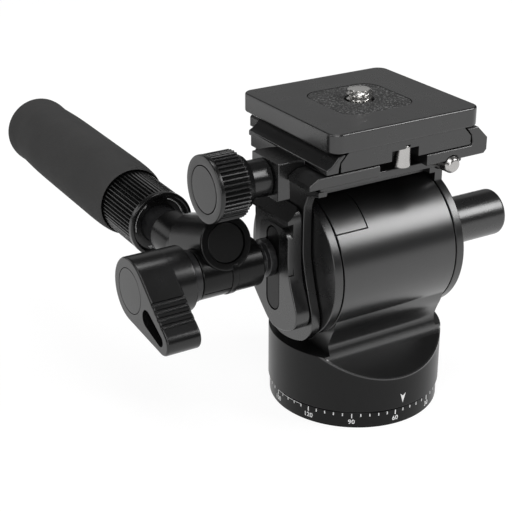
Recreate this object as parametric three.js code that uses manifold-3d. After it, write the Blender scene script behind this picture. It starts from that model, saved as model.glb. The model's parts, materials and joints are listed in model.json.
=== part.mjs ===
// A small fluid head for a camera: a base that screws onto a tripod, a body that pans on it, a cradle that
// tilts across the body's barrel, a quick release clamp with its plate, and a telescopic pan handle.
// Millimetres, +Z up. The origin is the middle of the base's underside, the front is -Y.

import * as THREE from 'three';
import { mergeVertices } from 'three/addons/utils/BufferGeometryUtils.js';
import Module from 'manifold-3d';

const wasm = await Module();
wasm.setup();

// Driving dimensions

const gap = 0.3; // clearance between neighbouring pieces
const over = 1; // how far a cut runs past the surface that it opens
const edge = 0.4; // small chamfer on turned and milled edges
const degree = Math.PI / 180;
const quarter_turn = Math.PI / 2;
const full_turn = Math.PI * 2;

// Facets around a turned piece
const large_sides = 44;
const medium_sides = 28;
const hidden_sides = 20;
const small_sides = 12;
const wing_segments = 7;

// Base that stays on the tripod
const base_radius = 22;
const base_height = 4.4;
const base_hub_radius = 11;
const base_hub_height = 9.2;
const bush_radius = 6.4;
const bush_bore_radius = 4.1;
const bush_height = 8.4;
const bush_floor = 1;
const bush_recess = 0.3;
const spindle_radius = 2.5;
const spindle_head_radius = 5;
const spindle_head_height = 2.2;
const spindle_hole_depth = 3.2;
const spindle_headroom = 0.7;

// Bearings that the body pans on
const thrust_inner_radius = 13.4;
const thrust_outer_radius = 18;
const thrust_thickness = 0.8;
const pan_bush_wall = 1.3;
const retainer_thickness = 1;
const retainer_overhang = 1;

// Panning body: a drum, a waist and the barrel, cast in one piece
const drum_overhang = 0.4; // the drum stands this far out over the base
const drum_roof = 1.2;
const drum_slope_height = 6;
const drum_slope = 30 * degree;
const cheek_above_drum = 2.6;
const barrel_radius = 18.9;
const barrel_half_width = 16.9;
const barrel_bore_radius = 13.5;
const waist_half_depth = 12.2;
const waist_above_drum = 1.2;
const waist_lean = 3.4; // how far it spreads up to the barrel
const waist_foot_share = 0.62; // how far of that it spreads down to the drum's slope

// Flush cover on the barrel
const cover_thickness = 1.5;
const cover_width = 9.4;
const cover_low_angle = 38 * degree;
const cover_high_angle = 92 * degree;

// Pan lock at the back of the drum
const lock_below_hub_top = 2;
const lock_knob_radius = 6.2;
const lock_knob_length = 8;
const lock_knob_floor = 2;
const lock_knob_rim = 1;
const lock_screw_radius = 2;
const lock_pad_radius = 1.9;
const lock_pad_length = 1.6;
const lock_travel = 0.6;
const lock_flutes = 20;
const lock_flute_depth = 0.6;

// Tilt shaft, its bearings and the drag discs in the barrel
const shaft_radius = 5;
const bearing_radius = 10.5;
const bearing_width = 4;
const end_cap_width = 4.6;
const disc_thickness = 1.6;
const disc_wall_clearance = 2;
const disc_shaft_clearance = 1;
const disc_pitch = 2 * (disc_thickness + gap);
const shaft_screw_radius = 2.2;
const shaft_screw_depth = 8;
const shaft_screw_head_radius = 4;
const shaft_screw_head_height = 2;

// Cradle that tilts: two cheeks and the platform over the barrel
const cheek_thickness = 2.3;
const cheek_half_depth = 8.5;
const cheek_flare = 4; // how far the right cheek spreads under the platform
const cheek_flare_height = 6;
const platform_above_barrel = 7.1;
const platform_edge = 1.9;
const platform_corner = 1;
const platform_front = 16;
const platform_back = 14;
const saddle_half_depth = 5.5;

// Left arm in two layers, with a dark strip let into its outer face
const arm_plate_thickness = 2.4;
const arm_half_depth = 8.7;
const arm_plate_below_barrel = 0.6;
const arm_slab_thickness = 4;
const arm_slab_above_plate = 4.5;
const arm_slab_top_drop = 1.3; // its top stands this far below the top of the barrel
const arm_slab_fall = 2.7; // its top slopes down this far to the outer face
const arm_slab_corner = 3.4;
const arm_shoulder_below_barrel = 4.9;
const arm_shoulder_edge = 1.4;
const arm_shoulder_inset = 1;
const strip_width = 5.4;
const strip_length = 21.7;
const strip_depth = 0.8;
const strip_forward = 2;
const strip_rise = 0.6;
const arm_screw_radius = 1.5;
const arm_screw_head_radius = 2.3;
const arm_screw_head_height = 1.5;
const arm_screw_length = 3.1;

// Stubs at the two ends of the tilt axis
const right_stub_radius = 6.25;
const right_stub_length = 24.9;
const right_stub_flange = 1.6;
const stub_end_round = 1;
const stub_rise = 3; // the handle's stub stands this far above the tilt axis
const stub_pin_radius = 3.9;
const stub_spigot_radius = 2.4;
const stub_flange_radius = 7.6;
const stub_flange_thickness = 2.4;

// Handle joint on the left stub
const knuckle_radius = 6.2;
const knuckle_width = 18.4;
const handle_offset = 1.9; // the handle stands this far left of the knuckle's middle
const knuckle_band_width = 1.7;
const knuckle_band_height = 0.35;
const boss_radius = 6.8;
const boss_rise = 7.1;
const boss_forward = 3.9;
const boss_length = 17.3;
const boss_pitch = 20 * degree;
const boss_cap_radius = 4.7;
const boss_cap_thickness = 1.2;
const boss_cap_recess = 0.3;
const handle_elevation = 2 * degree;
const neck_radius = 5.9;
const neck_root_radius = 6.9;
const neck_length = 24.3;
const neck_root = 9;

// Telescopic handle, measured from the stub along the handle
const inner_tube_radius = 5;
const inner_tube_wall = 1.1;
const inner_tube_start = 12;
const outer_tube_radius = 7;
const collar_from_neck = 4.7;
const collar_length = 20;
const collar_radius = 8.8;
const collar_rim_width = 2;
const collar_recess_radius = 7.7;
const collar_recess_depth = 1.5;
const collar_wall = 1.5;
const collar_flutes = 48;
const collar_flute_depth = 0.55;
const collet_length = 3.2;
const grip_lap = 3; // how far the grip reaches over the collar
const grip_length = 68;
const grip_end_wall = 3.4;
const grip_radius = 10;
const grip_mouth_depth = 3.6;
const grip_mouth_radius = 9.25;
const grip_round = 3.4;
const grip_waist = 0.35;
const grip_waist_from_end = 10;
const plug_length = 4.5;
const plug_clearance = 2.1;

// Lever that clamps the handle on its stub
const lever_nut_radius = 6.4;
const lever_nut_length = 2;
const lever_nut_shank_radius = 5.2;
const lever_nut_shank_length = 8;
const lever_nut_floor = 1.7;
const lever_hub_radius = 8.1;
const lever_hub_length = 13.8;
const lever_wing_width = 8.8;
const lever_reach = 16.6;
const lever_droop = 24 * degree;
const lever_tip_radius = 3.2;
const lever_cap_radius = 5.5;
const lever_cap_thickness = 0.9;
const lever_pocket_depth = 5.4;
const lever_pocket_near = 9.3;
const lever_pocket_far = 15.9;
const lever_pocket_tip_radius = 1.5;
const lever_pocket_back_radius = 2.3;
const lever_groove_radius = 0.45;
const lever_groove_sides = 8;
const lever_grooves = 4;
const lever_groove_pitch = 1.7;
const lever_groove_start = 9.6;
const lever_screw_radius = 1.9;
const lever_screw_head_radius = 3.2;
const lever_screw_head_height = 2;
const lever_screw_length = 3.6;

// Quick release plate
const plate_half_width = 21.5;
const plate_front = 19.4;
const plate_back = 21.4;
const plate_thickness = 4.8;
const plate_corner = 2.9;
const dovetail_neck = 17;
const dovetail_half_width = 19;
const dovetail_flank = 2.2;
const dovetail_height = 4.5;
const dovetail_channel_width = 6.4;
const dovetail_channel_depth = 1;
const pad_width = 18.6;
const pad_corner = 1.6;
const pad_thickness = 1.2;
const camera_screw_radius = 3.175;
const camera_screw_length = 2.6;
const camera_screw_hole = 3.8;
const camera_head_radius = 6;
const camera_head_thickness = 2.4;
const stop_pin_radius = 2.1;
const stop_pin_inset = 2.6;
const stop_pin_drop = 2.6;
const stop_pin_depth = 3;

// Quick release clamp
const clamp_floor = 2.7;
const clamp_front = 19.2;
const clamp_back = 15.2;
const jaw_outer = 24.2;
const jaw_hollow = 0.6;
const jaw_bevel = 3.2;
const jaw_foot = 0.9;
const moving_jaw_outer = 23;
const rail_outer = 27.5;
const rail_facet_width = 2.4;
const rail_facet_height = 1.4;
const floor_left = 19.8; // where the jaw's block meets the floor
const keel_front = 8;
const keel_back = 0.6;
const keel_depth = 4.7;
const keel_right = 9;
const notch_left = 8;
const notch_right = 5.8;
const notch_depth = 8.4;
const back_notch_depth = 7;
const clamp_screw_radius = 1.5;
const clamp_screw_head_radius = 2.7;
const clamp_screw_head_height = 1.7;
const clamp_screw_length = 6;
const clamp_screw_back = 8.5;
const clamp_screw_side = 12;

// Moving jaw, its screw and its knob
const jaw_block_front = 10;
const jaw_block_back = 1.8;
const jaw_block_wall = 3.4;
const jaw_block_below_screw = 4.4;
const jaw_block_above_screw = 4.8;
const jaw_slope_inner = 25.6;
const knob_forward = 4;
const knob_below_platform = 0.2;
const knob_radius = 8.14;
const knob_length = 6.5;
const knob_taper = 3.3;
const knob_back_radius = 6;
const knob_boss_radius = 4.6;
const knob_boss_length = 6.2;
const knob_cap_radius = 5.6;
const knob_cap_thickness = 1;
const knob_flutes = 36;
const knob_flute_depth = 0.55;
const knob_rim = 1.1;
const jaw_screw_radius = 2;
const jaw_screw_reach = 14;
const jaw_screw_in_knob = 9;
const guide_radius = 0.7;
const guide_spread = 4.3; // on each side of the jaw screw
const guide_in_floor = 7;
const guide_in_jaw = 5.6;

// Safety catch in front, with its spring
const catch_radius = 2.2;
const catch_right = 13.6;
const catch_below_platform = 0.8;
const catch_front = 20.2;
const catch_length = 9;
const catch_housing_wall = 0.9;
const catch_housing_inset = 1.4; // behind the platform's front edge
const catch_travel = 2;
const catch_spring_length = 5;
const catch_spring_wire = 0.35;
const catch_spring_turns = 5;

// Places worked out from the driving dimensions

const base_hub_top = base_height + base_hub_height;
const retainer_bottom = base_hub_top + gap;
const spindle_head_bottom = retainer_bottom + retainer_thickness + gap;
const drum_radius = base_radius + drum_overhang;
const drum_bottom = base_height + gap;
const drum_ceiling = spindle_head_bottom + spindle_head_height + spindle_headroom;
const drum_top = drum_ceiling + drum_roof;
const drum_front_top = drum_top - drum_slope_height;
const tilt_height = drum_top + cheek_above_drum + barrel_radius;
const waist_height = drum_top + waist_above_drum;
const lock_height = base_hub_top - lock_below_hub_top;
const pan_bore_radius = base_hub_radius + gap + pan_bush_wall + gap;
const cheek_inner = barrel_half_width + gap;
const cheek_outer = cheek_inner + cheek_thickness;
const arm_plate_inner = cheek_outer + gap;
const arm_plate_outer = arm_plate_inner + arm_plate_thickness;
const arm_slab_inner = arm_plate_outer + gap;
const arm_slab_outer = arm_slab_inner + arm_slab_thickness;
const stub_flange_outer = arm_slab_outer + gap + stub_flange_thickness;
const knuckle_right = stub_flange_outer + gap;
const knuckle_left = knuckle_right + knuckle_width;
const handle_x = (knuckle_right + knuckle_left) / 2 + handle_offset;
const nut_right = knuckle_left + gap;
const nut_left = nut_right + lever_nut_length;
const lever_right = nut_left + gap;
const lever_left = lever_right + lever_hub_length;
// Heights above the tilt axis
const platform_top = barrel_radius + platform_above_barrel;
const arm_shoulder_height = barrel_radius - arm_shoulder_below_barrel;
const arm_plate_drop = barrel_radius + arm_plate_below_barrel;
const arm_slab_drop = arm_plate_drop - arm_slab_above_plate;
const arm_slab_top = barrel_radius - arm_slab_top_drop;
const catch_rise = platform_top - catch_below_platform;
const knob_rise = platform_top - knob_below_platform;
const clamp_bottom = platform_top + gap;
const clamp_top = clamp_bottom + clamp_floor;
const plate_bottom = clamp_top + gap;
const slab_bottom = plate_bottom + dovetail_height;
const plate_top = slab_bottom + plate_thickness;
const jaw_top = slab_bottom - gap;
const jaw_block_low = knob_rise - jaw_block_below_screw;
const jaw_block_high = knob_rise + jaw_block_above_screw;
// Places across the head
const block_inner = arm_slab_outer + gap;
const jaw_block_outer = block_inner + jaw_block_wall;
const knob_right = jaw_block_outer + gap;
const knob_left = knob_right + knob_boss_length + knob_taper + knob_length;
const plate_middle = (plate_back - plate_front) / 2;
// Places along the handle
const collar_start = neck_length + collar_from_neck;
const collar_end = collar_start + collar_length;
const collar_floor = collar_start + collar_recess_depth + collar_wall;
const collet_end = collar_floor + gap + collet_length;
const outer_tube_start = collet_end + gap;
const grip_start = collar_end - grip_lap;
const grip_end = grip_start + grip_length;
const outer_tube_end = grip_end - grip_end_wall;
const inner_tube_end = outer_tube_end - plug_length - plug_clearance;

// Finishes

const finish = (color, roughness, metalness) => (
  new THREE.MeshStandardMaterial({ color, roughness, metalness }));
const anodised = finish(0x17181b, 0.38, 0.75);
const dark_anodised = finish(0x101114, 0.5, 0.6);
const matte_black = finish(0x0c0c0d, 0.8, 0.05);
const steel = finish(0xc9ccd0, 0.25, 1);
const black_steel = finish(0x1b1b1c, 0.4, 0.85);
const brass = finish(0xb08a4a, 0.35, 1);
const acetal = finish(0xd8d6cc, 0.55, 0);
const rubber = finish(0x19191a, 0.9, 0);
const foam = finish(0x1c1c1d, 0.95, 0);

// Solids and booleans

// A closed geometry as a manifold solid
function solid(geometry) {
  const bare = geometry.clone();
  bare.deleteAttribute('normal');
  bare.deleteAttribute('uv');
  const welded = mergeVertices(bare);
  const corners = welded.getIndex().array;
  const kept = [];
  for (let i = 0; i < corners.length; i += 3) {
    const [a, b, c] = [corners[i], corners[i + 1], corners[i + 2]];
    if (a !== b && b !== c && c !== a) kept.push(a, b, c);
  }
  const vertProperties = Float32Array.from(welded.getAttribute('position').array);
  return new wasm.Manifold(new wasm.Mesh({ numProp: 3, vertProperties, triVerts: Uint32Array.from(kept) }));
}

function geometryOf(body) {
  const mesh = body.getMesh();
  const geometry = new THREE.BufferGeometry();
  geometry.setAttribute('position', new THREE.BufferAttribute(Float32Array.from(mesh.vertProperties), 3));
  geometry.setIndex(Array.from(mesh.triVerts));
  const flat = geometry.toNonIndexed();
  flat.computeVertexNormals();
  return flat;
}

// The first geometry with the others joined to it
function join(first, ...others) {
  let body = solid(first);
  for (const other of others) body = body.add(solid(other));
  return geometryOf(body);
}

// The first geometry with the others cut out of it
function cut(first, ...others) {
  let body = solid(first);
  for (const other of others) body = body.subtract(solid(other));
  return geometryOf(body);
}

function overlapOf(first, second) {
  return geometryOf(solid(first).intersect(solid(second)));
}

// A turned solid from [radius, place] pairs that run along the named axis
function turned(axis, profile, sides = hidden_sides) {
  const points = profile
    .filter(([radius, place], i) => i === 0 || radius !== profile[i - 1][0] || place !== profile[i - 1][1])
    .map(([radius, place]) => new THREE.Vector2(radius, place));
  if (THREE.ShapeUtils.area(points) < 0) points.reverse();
  const geometry = new THREE.LatheGeometry(points, sides);
  if (axis === 'x') geometry.rotateZ(-quarter_turn);
  if (axis === 'z') geometry.rotateX(quarter_turn);
  return geometry;
}

// A round bar with small chamfers on both ends
function rod(axis, radius, from, to, sides = small_sides, chamfer = 0) {
  return turned(axis, [
    [0, from],
    [radius - chamfer, from],
    [radius, from + chamfer],
    [radius, to - chamfer],
    [radius - chamfer, to],
    [0, to],
  ], sides);
}

// A round tube or washer
function ring(axis, inner, outer, from, to, sides = hidden_sides) {
  return turned(axis, [
    [inner, from],
    [outer, from],
    [outer, to],
    [inner, to],
    [inner, from],
  ], sides);
}

const axes = {
  x: [new THREE.Vector3(0, 1, 0), new THREE.Vector3(0, 0, 1), new THREE.Vector3(1, 0, 0)],
  y: [new THREE.Vector3(0, 0, 1), new THREE.Vector3(1, 0, 0), new THREE.Vector3(0, 1, 0)],
  z: [new THREE.Vector3(1, 0, 0), new THREE.Vector3(0, 1, 0), new THREE.Vector3(0, 0, 1)],
};

// An outline pulled along an axis. Across x it is drawn in (y, z), across y in (z, x), across z in (x, y).
function pulled(axis, outline, from, to, bevel = 0, curveSegments = 3) {
  const geometry = new THREE.ExtrudeGeometry(outline, {
    depth: to - from - 2 * bevel,
    steps: 1,
    curveSegments,
    bevelEnabled: bevel > 0,
    bevelThickness: bevel,
    bevelSize: bevel,
    bevelOffset: -bevel,
    bevelSegments: 1,
  });
  geometry.translate(0, 0, from + bevel);
  return geometry.applyMatrix4(new THREE.Matrix4().makeBasis(...axes[axis]));
}

const outlineOf = (points) => new THREE.Shape(points.map(([u, v]) => new THREE.Vector2(u, v)));
// An outline given in (x, z), to be pulled along y
const sideOutline = (points) => outlineOf(points.map(([x, z]) => [z, x]));

// An oblong outline with rounded corners
function roundedOutline(low_u, high_u, low_v, high_v, corner) {
  const shape = new THREE.Shape();
  shape.moveTo(low_u + corner, low_v);
  shape.lineTo(high_u - corner, low_v);
  shape.absarc(high_u - corner, low_v + corner, corner, -quarter_turn, 0, false);
  shape.lineTo(high_u, high_v - corner);
  shape.absarc(high_u - corner, high_v - corner, corner, 0, quarter_turn, false);
  shape.lineTo(low_u + corner, high_v);
  shape.absarc(low_u + corner, high_v - corner, corner, quarter_turn, 2 * quarter_turn, false);
  shape.lineTo(low_u, low_v + corner);
  shape.absarc(low_u + corner, low_v + corner, corner, 2 * quarter_turn, 3 * quarter_turn, false);
  return shape;
}

// The outline of a belt round two discs
function beltOutline(near, near_radius, far, far_radius) {
  const along = Math.atan2(far[1] - near[1], far[0] - near[0]);
  const length = Math.hypot(far[0] - near[0], far[1] - near[1]);
  const spread = Math.acos((near_radius - far_radius) / length);
  const shape = new THREE.Shape();
  shape.absarc(near[0], near[1], near_radius, along + spread, along - spread + full_turn, false);
  shape.absarc(far[0], far[1], far_radius, along - spread, along + spread, false);
  return shape;
}

// A fluted outline: flat ribs with a narrow groove after each
const rib_shares = [[0.05, 0], [0.6, 0], [0.82, 1]]; // where along the pitch, and how far into the groove
function flutedOutline(radius, depth, count) {
  const points = [];
  for (let i = 0; i < count; i++) {
    for (const [share, sunk_share] of rib_shares) {
      const angle = (i + share) / count * full_turn;
      const reach = radius - depth * sunk_share;
      points.push([reach * Math.cos(angle), reach * Math.sin(angle)]);
    }
  }
  return outlineOf(points);
}

const shifted = (geometry, x, y, z) => geometry.translate(x, y, z);
const box = (x0, x1, y0, y1, z0, z1) => shifted(
  new THREE.BoxGeometry(x1 - x0, y1 - y0, z1 - z0), (x0 + x1) / 2, (y0 + y1) / 2, (z0 + z1) / 2);

const spring_steps = 10;

// A round wire wound into an open spring along the named axis
function spring(axis, radius, wire, turns, from, to) {
  const places = [];
  const steps = turns * spring_steps;
  for (let i = 0; i <= steps; i++) {
    const angle = i / spring_steps * full_turn;
    const height = from + wire + (to - from - 2 * wire) * i / steps;
    places.push(new THREE.Vector3(radius * Math.cos(angle), height, radius * Math.sin(angle)));
  }
  const wire_outline = new THREE.Shape();
  wire_outline.absarc(0, 0, wire, 0, full_turn, false);
  const extrudePath = new THREE.CatmullRomCurve3(places);
  const geometry = new THREE.ExtrudeGeometry(wire_outline, { steps, curveSegments: 3, extrudePath });
  if (axis === 'x') geometry.rotateZ(-quarter_turn);
  if (axis === 'z') geometry.rotateX(quarter_turn);
  return geometry;
}

function piece(parent, name, geometry, material) {
  const mesh = new THREE.Mesh(geometry, material);
  mesh.name = name;
  parent.add(mesh);
  return mesh;
}

// Groups, one for each thing that moves

const head = new THREE.Group();
const pan = new THREE.Group();
const tilt = new THREE.Group();
const handle = new THREE.Group();
tilt.position.set(0, 0, tilt_height);
handle.position.set(-handle_x, 0, stub_rise);
handle.rotation.x = handle_elevation;
head.add(pan);
pan.add(tilt);
tilt.add(handle);

// Base: scale ring with its hub, threaded bush, washers and the screw that keeps the body down

const base_ring = turned('z', [
  [bush_radius + gap, 0],
  [base_radius - edge, 0],
  [base_radius, edge],
  [base_radius, base_height - edge / 2],
  [base_radius - edge / 2, base_height],
  [base_hub_radius, base_height],
  [base_hub_radius, base_hub_top],
  [spindle_radius + gap, base_hub_top],
  [spindle_radius + gap, bush_height + gap],
  [bush_radius + gap, bush_height + gap],
  [bush_radius + gap, 0],
], large_sides);
piece(head, 'base_ring', base_ring, anodised);

piece(head, 'thread_bush', turned('z', [
  [bush_bore_radius + edge, bush_recess],
  [bush_radius, bush_recess],
  [bush_radius, bush_height],
  [0, bush_height],
  [0, bush_height - bush_floor],
  [bush_bore_radius, bush_height - bush_floor],
  [bush_bore_radius, bush_recess + edge],
  [bush_bore_radius + edge, bush_recess],
], small_sides), steel);

piece(head, 'thrust_washer', ring('z', thrust_inner_radius, thrust_outer_radius, base_height + gap,
  base_height + gap + thrust_thickness), acetal);

piece(head, 'retaining_washer', ring('z', spindle_radius + gap, base_hub_radius + retainer_overhang,
  retainer_bottom, retainer_bottom + retainer_thickness), steel);

piece(head, 'spindle_screw', join(
  rod('z', spindle_radius, base_hub_top - spindle_hole_depth, spindle_head_bottom + spindle_head_height / 2),
  rod('z', spindle_head_radius, spindle_head_bottom, spindle_head_bottom + spindle_head_height - gap,
    small_sides, edge)), black_steel);

// Body that pans: the side view of the drum and waist, pulled across the head

// The waist's curve from the barrel down to the drum: shares of its lean and of its rise to the barrel
const waist_shares = [
  [1, 1],
  [0.76, 0.63],
  [0.52, 0.4],
  [0.14, 0.17],
  [0, 0],
  [0.18, -0.15],
];
const waist_rise = tilt_height - barrel_radius / 2 - waist_height;
const drum_front_run = drum_slope_height / Math.tan(drum_slope);
const waist_foot = waist_half_depth + waist_lean * waist_foot_share;
const half_side = [
  ...waist_shares.map(([out, up]) => [-waist_half_depth - waist_lean * out, waist_height + waist_rise * up]),
  [-waist_foot, drum_front_top + (drum_radius - waist_foot) * Math.tan(drum_slope)],
  [-drum_radius, drum_front_top],
  [-drum_radius, drum_bottom],
];
const other_side = half_side.map(([y, z]) => [-y, z]).reverse();
const waist_block = pulled('x', outlineOf([...half_side, ...other_side]), -barrel_half_width + edge,
  barrel_half_width - edge);
const waist_keep = join(
  rod('z', drum_radius, drum_bottom, waist_height, large_sides),
  box(-drum_radius, drum_radius, -drum_radius, drum_radius, waist_height - over, tilt_height));
const drum_side = outlineOf([
  [-drum_radius, drum_bottom],
  [drum_radius, drum_bottom],
  [drum_radius, drum_front_top],
  [drum_radius - drum_front_run, drum_top],
  [drum_front_run - drum_radius, drum_top],
  [-drum_radius, drum_front_top],
]);
const drum = overlapOf(
  rod('z', drum_radius, drum_bottom, drum_top, large_sides, edge),
  pulled('x', drum_side, -drum_radius - over, drum_radius + over));
const barrel = shifted(rod('x', barrel_radius, -barrel_half_width, barrel_half_width, large_sides, edge),
  0, 0, tilt_height);

// Pie slice of the barrel that the flush cover fills, seen along the barrel
function coverSlice(inset) {
  const reach = barrel_radius * 2;
  const low = cover_low_angle + inset / barrel_radius;
  const high = cover_high_angle - inset / barrel_radius;
  const slice = outlineOf([
    [0, 0],
    [-reach * Math.cos(low), reach * Math.sin(low)],
    [-reach * Math.cos(high), reach * Math.sin(high)],
  ]);
  return pulled('x', slice, -barrel_half_width + edge + inset, cover_width - barrel_half_width - inset);
}
const cover_floor = barrel_radius - cover_thickness;
const cover_pocket = shifted(overlapOf(
  ring('x', cover_floor - gap, barrel_radius + over, -barrel_half_width, barrel_half_width, large_sides),
  coverSlice(0)), 0, 0, tilt_height);

const pan_bore = turned('z', [
  [0, drum_bottom - over],
  [thrust_outer_radius + gap, drum_bottom - over],
  [thrust_outer_radius + gap, drum_bottom + thrust_thickness + gap],
  [pan_bore_radius, drum_bottom + thrust_thickness + gap],
  [pan_bore_radius, drum_ceiling],
  [0, drum_ceiling],
], hidden_sides);
const barrel_bore = shifted(rod('x', barrel_bore_radius, -barrel_half_width - over, barrel_half_width + over,
  hidden_sides), 0, 0, tilt_height);
const lock_bore = shifted(rod('y', lock_screw_radius + gap, base_hub_radius, drum_radius + over), 0, 0,
  lock_height);
const pan_body = cut(
  join(drum, overlapOf(waist_block, waist_keep), barrel),
  pan_bore, barrel_bore, cover_pocket, lock_bore);
piece(pan, 'pan_body', pan_body, anodised);

piece(pan, 'barrel_cover', shifted(overlapOf(
  ring('x', cover_floor, barrel_radius, -barrel_half_width, barrel_half_width, large_sides),
  coverSlice(gap)), 0, 0, tilt_height), anodised);

const pan_bush_inner = base_hub_radius + gap;
piece(pan, 'pan_bush', cut(
  ring('z', pan_bush_inner, pan_bush_inner + pan_bush_wall, drum_bottom + thrust_thickness + 2 * gap,
    base_hub_top),
  lock_bore), brass);

// Pan lock: pad, screw and fluted knob

const lock_pad_front = base_hub_radius + lock_travel;
const lock_screw_front = lock_pad_front + lock_pad_length + gap;
const lock_knob_front = drum_radius + lock_travel + gap;
const lock = new THREE.Group();
lock.position.set(0, 0, lock_height);
pan.add(lock);
piece(lock, 'pan_lock_pad', rod('y', lock_pad_radius, lock_pad_front, lock_pad_front + lock_pad_length),
  brass);
piece(lock, 'pan_lock_screw', rod('y', lock_screw_radius, lock_screw_front,
  lock_knob_front + lock_knob_length - lock_knob_floor, small_sides, edge), steel);
const lock_knob_body = join(
  rod('y', lock_knob_radius - lock_flute_depth - gap, lock_knob_front, lock_knob_front + lock_knob_length,
    medium_sides, edge),
  pulled('y', flutedOutline(lock_knob_radius, lock_flute_depth, lock_flutes),
    lock_knob_front + lock_knob_rim,
    lock_knob_front + lock_knob_length - lock_knob_rim));
piece(lock, 'pan_lock_knob', cut(lock_knob_body,
  rod('y', lock_screw_radius + gap, lock_knob_front - over,
    lock_knob_front + lock_knob_length - lock_knob_floor + gap)),
  dark_anodised);

// Inside the barrel: bearings in their end caps and the fixed drag discs

for (const [side, sign] of [['left', -1], ['right', 1]]) {
  const outer = barrel_half_width - gap;
  const cap = [outer - end_cap_width, outer].map((place) => sign * place).sort((a, b) => a - b);
  const race = [outer - bearing_width, outer].map((place) => sign * place).sort((a, b) => a - b);
  const end_cap = shifted(ring('x', bearing_radius + gap, barrel_bore_radius - gap, ...cap), 0, 0,
    tilt_height);
  piece(pan, `end_cap_${side}`, end_cap, dark_anodised);
  const bearing = shifted(ring('x', shaft_radius + gap, bearing_radius, ...race), 0, 0, tilt_height);
  piece(pan, `tilt_bearing_${side}`, bearing, steel);
}

// Discs stand in a stack about the middle: rotors on the shaft, stators in the barrel
const disc_places = [-1, 0, 1].map((step) => step * disc_pitch);
disc_places.forEach((middle, i) => {
  const from = middle - disc_thickness / 2;
  piece(tilt, `drag_rotor_${i + 1}`,
    ring('x', shaft_radius + gap, barrel_bore_radius - disc_wall_clearance, from,
    from + disc_thickness), steel);
});
disc_places.slice(1).forEach((middle, i) => {
  const from = middle - disc_pitch / 2 - disc_thickness / 2;
  piece(tilt_fixed(), `drag_stator_${i + 1}`,
    ring('x', shaft_radius + disc_shaft_clearance, barrel_bore_radius - gap, from,
    from + disc_thickness), brass);
});

// A group at the tilt axis that stays with the panning body
function tilt_fixed() {
  const group = new THREE.Group();
  group.position.set(0, 0, tilt_height);
  pan.add(group);
  return group;
}

// Tilting cradle

const barrel_clearance = barrel_radius + 2 * gap;
const cheek_top = platform_top - platform_edge / 2;
const flare_start = cheek_top - cheek_flare_height;
const flare_reach = cheek_half_depth + cheek_flare;
const cheek_outline = new THREE.Shape();
cheek_outline.moveTo(-cheek_half_depth, 0);
cheek_outline.lineTo(cheek_half_depth, 0);
cheek_outline.lineTo(cheek_half_depth, flare_start);
cheek_outline.quadraticCurveTo(cheek_half_depth, cheek_top, flare_reach, cheek_top);
cheek_outline.lineTo(-flare_reach, cheek_top);
cheek_outline.quadraticCurveTo(-cheek_half_depth, cheek_top, -cheek_half_depth, flare_start);
const right_cheek = join(
  rod('x', barrel_radius, cheek_inner, cheek_outer, large_sides, edge),
  pulled('x', cheek_outline, cheek_inner, cheek_outer));
const left_cheek = join(
  rod('x', barrel_radius, -cheek_outer, -cheek_inner, large_sides, edge),
  box(-cheek_outer, -cheek_inner, -saddle_half_depth, saddle_half_depth, 0, cheek_top));
const saddle = cut(
  box(-cheek_outer + edge, cheek_outer - edge, -saddle_half_depth, saddle_half_depth, 0, cheek_top),
  rod('x', barrel_clearance, -cheek_inner, cheek_inner, large_sides),
  box(-cheek_inner, cheek_inner, -barrel_radius, barrel_radius, -over, barrel_radius / 2));
const platform = pulled('z', roundedOutline(-arm_plate_outer, cheek_outer, -platform_front, platform_back,
  platform_corner),
  platform_top - platform_edge, platform_top, edge / 2);
const keel_slot = box(-arm_plate_outer - over, keel_right + gap, -keel_front - gap, keel_back + gap,
  platform_top - keel_depth, platform_top + over);
const catch_housing_reach = catch_radius + catch_housing_wall;
const catch_housing = box(catch_right - catch_housing_reach, catch_right + catch_housing_reach,
  catch_housing_inset - platform_front, -saddle_half_depth + over,
  catch_rise - catch_housing_reach, platform_top - gap);
const catch_back = catch_front - catch_length;
const catch_bore = shifted(rod('y', catch_radius + gap, -catch_front - over,
  -catch_back + catch_travel + catch_spring_length + gap), catch_right, 0, catch_rise);
const clamp_screw_places = [-1, 1].map((sign) => sign * clamp_screw_side);
const clamp_screw_holes = clamp_screw_places.map((x) => shifted(
  rod('z', clamp_screw_radius + gap, clamp_top - clamp_screw_length - gap, clamp_top + over), x,
    clamp_screw_back, 0));
const shaft_hole = rod('x', shaft_radius + gap, -cheek_outer - over, cheek_outer + over);
const arm_screw_spots = [[-arm_half_depth / 2, arm_shoulder_height],
  [arm_half_depth / 2, arm_shoulder_height]];
const arm_screw_holes = arm_screw_spots.map(([y, z]) => shifted(
  rod('x', arm_screw_radius + gap, -arm_plate_outer - over, over - cheek_inner), 0, y, z));
const cradle_solid = join(right_cheek, left_cheek, saddle, platform, catch_housing);
piece(tilt, 'cradle', cut(cradle_solid, keel_slot, catch_bore, shaft_hole, ...clamp_screw_holes,
  ...arm_screw_holes, rod('x', barrel_clearance, -cheek_inner, cheek_inner, large_sides)), anodised);

piece(tilt, 'tilt_shaft', cut(
  rod('x', shaft_radius, -cheek_outer, cheek_outer, small_sides, edge),
  rod('x', shaft_screw_radius + gap, cheek_outer - shaft_screw_depth - gap, cheek_outer + over),
  rod('x', shaft_screw_radius + gap, -cheek_outer - over, gap + shaft_screw_depth - cheek_outer)), steel);

piece(tilt, 'shaft_screw', join(
  rod('x', shaft_screw_radius, -arm_plate_inner - edge, shaft_screw_depth - cheek_outer),
  rod('x', shaft_screw_head_radius, -arm_plate_inner - shaft_screw_head_height, -arm_plate_inner,
    small_sides, edge)),
  black_steel);

// Left arm: the inner plate hangs lower and widens into a shoulder under the platform

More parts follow.
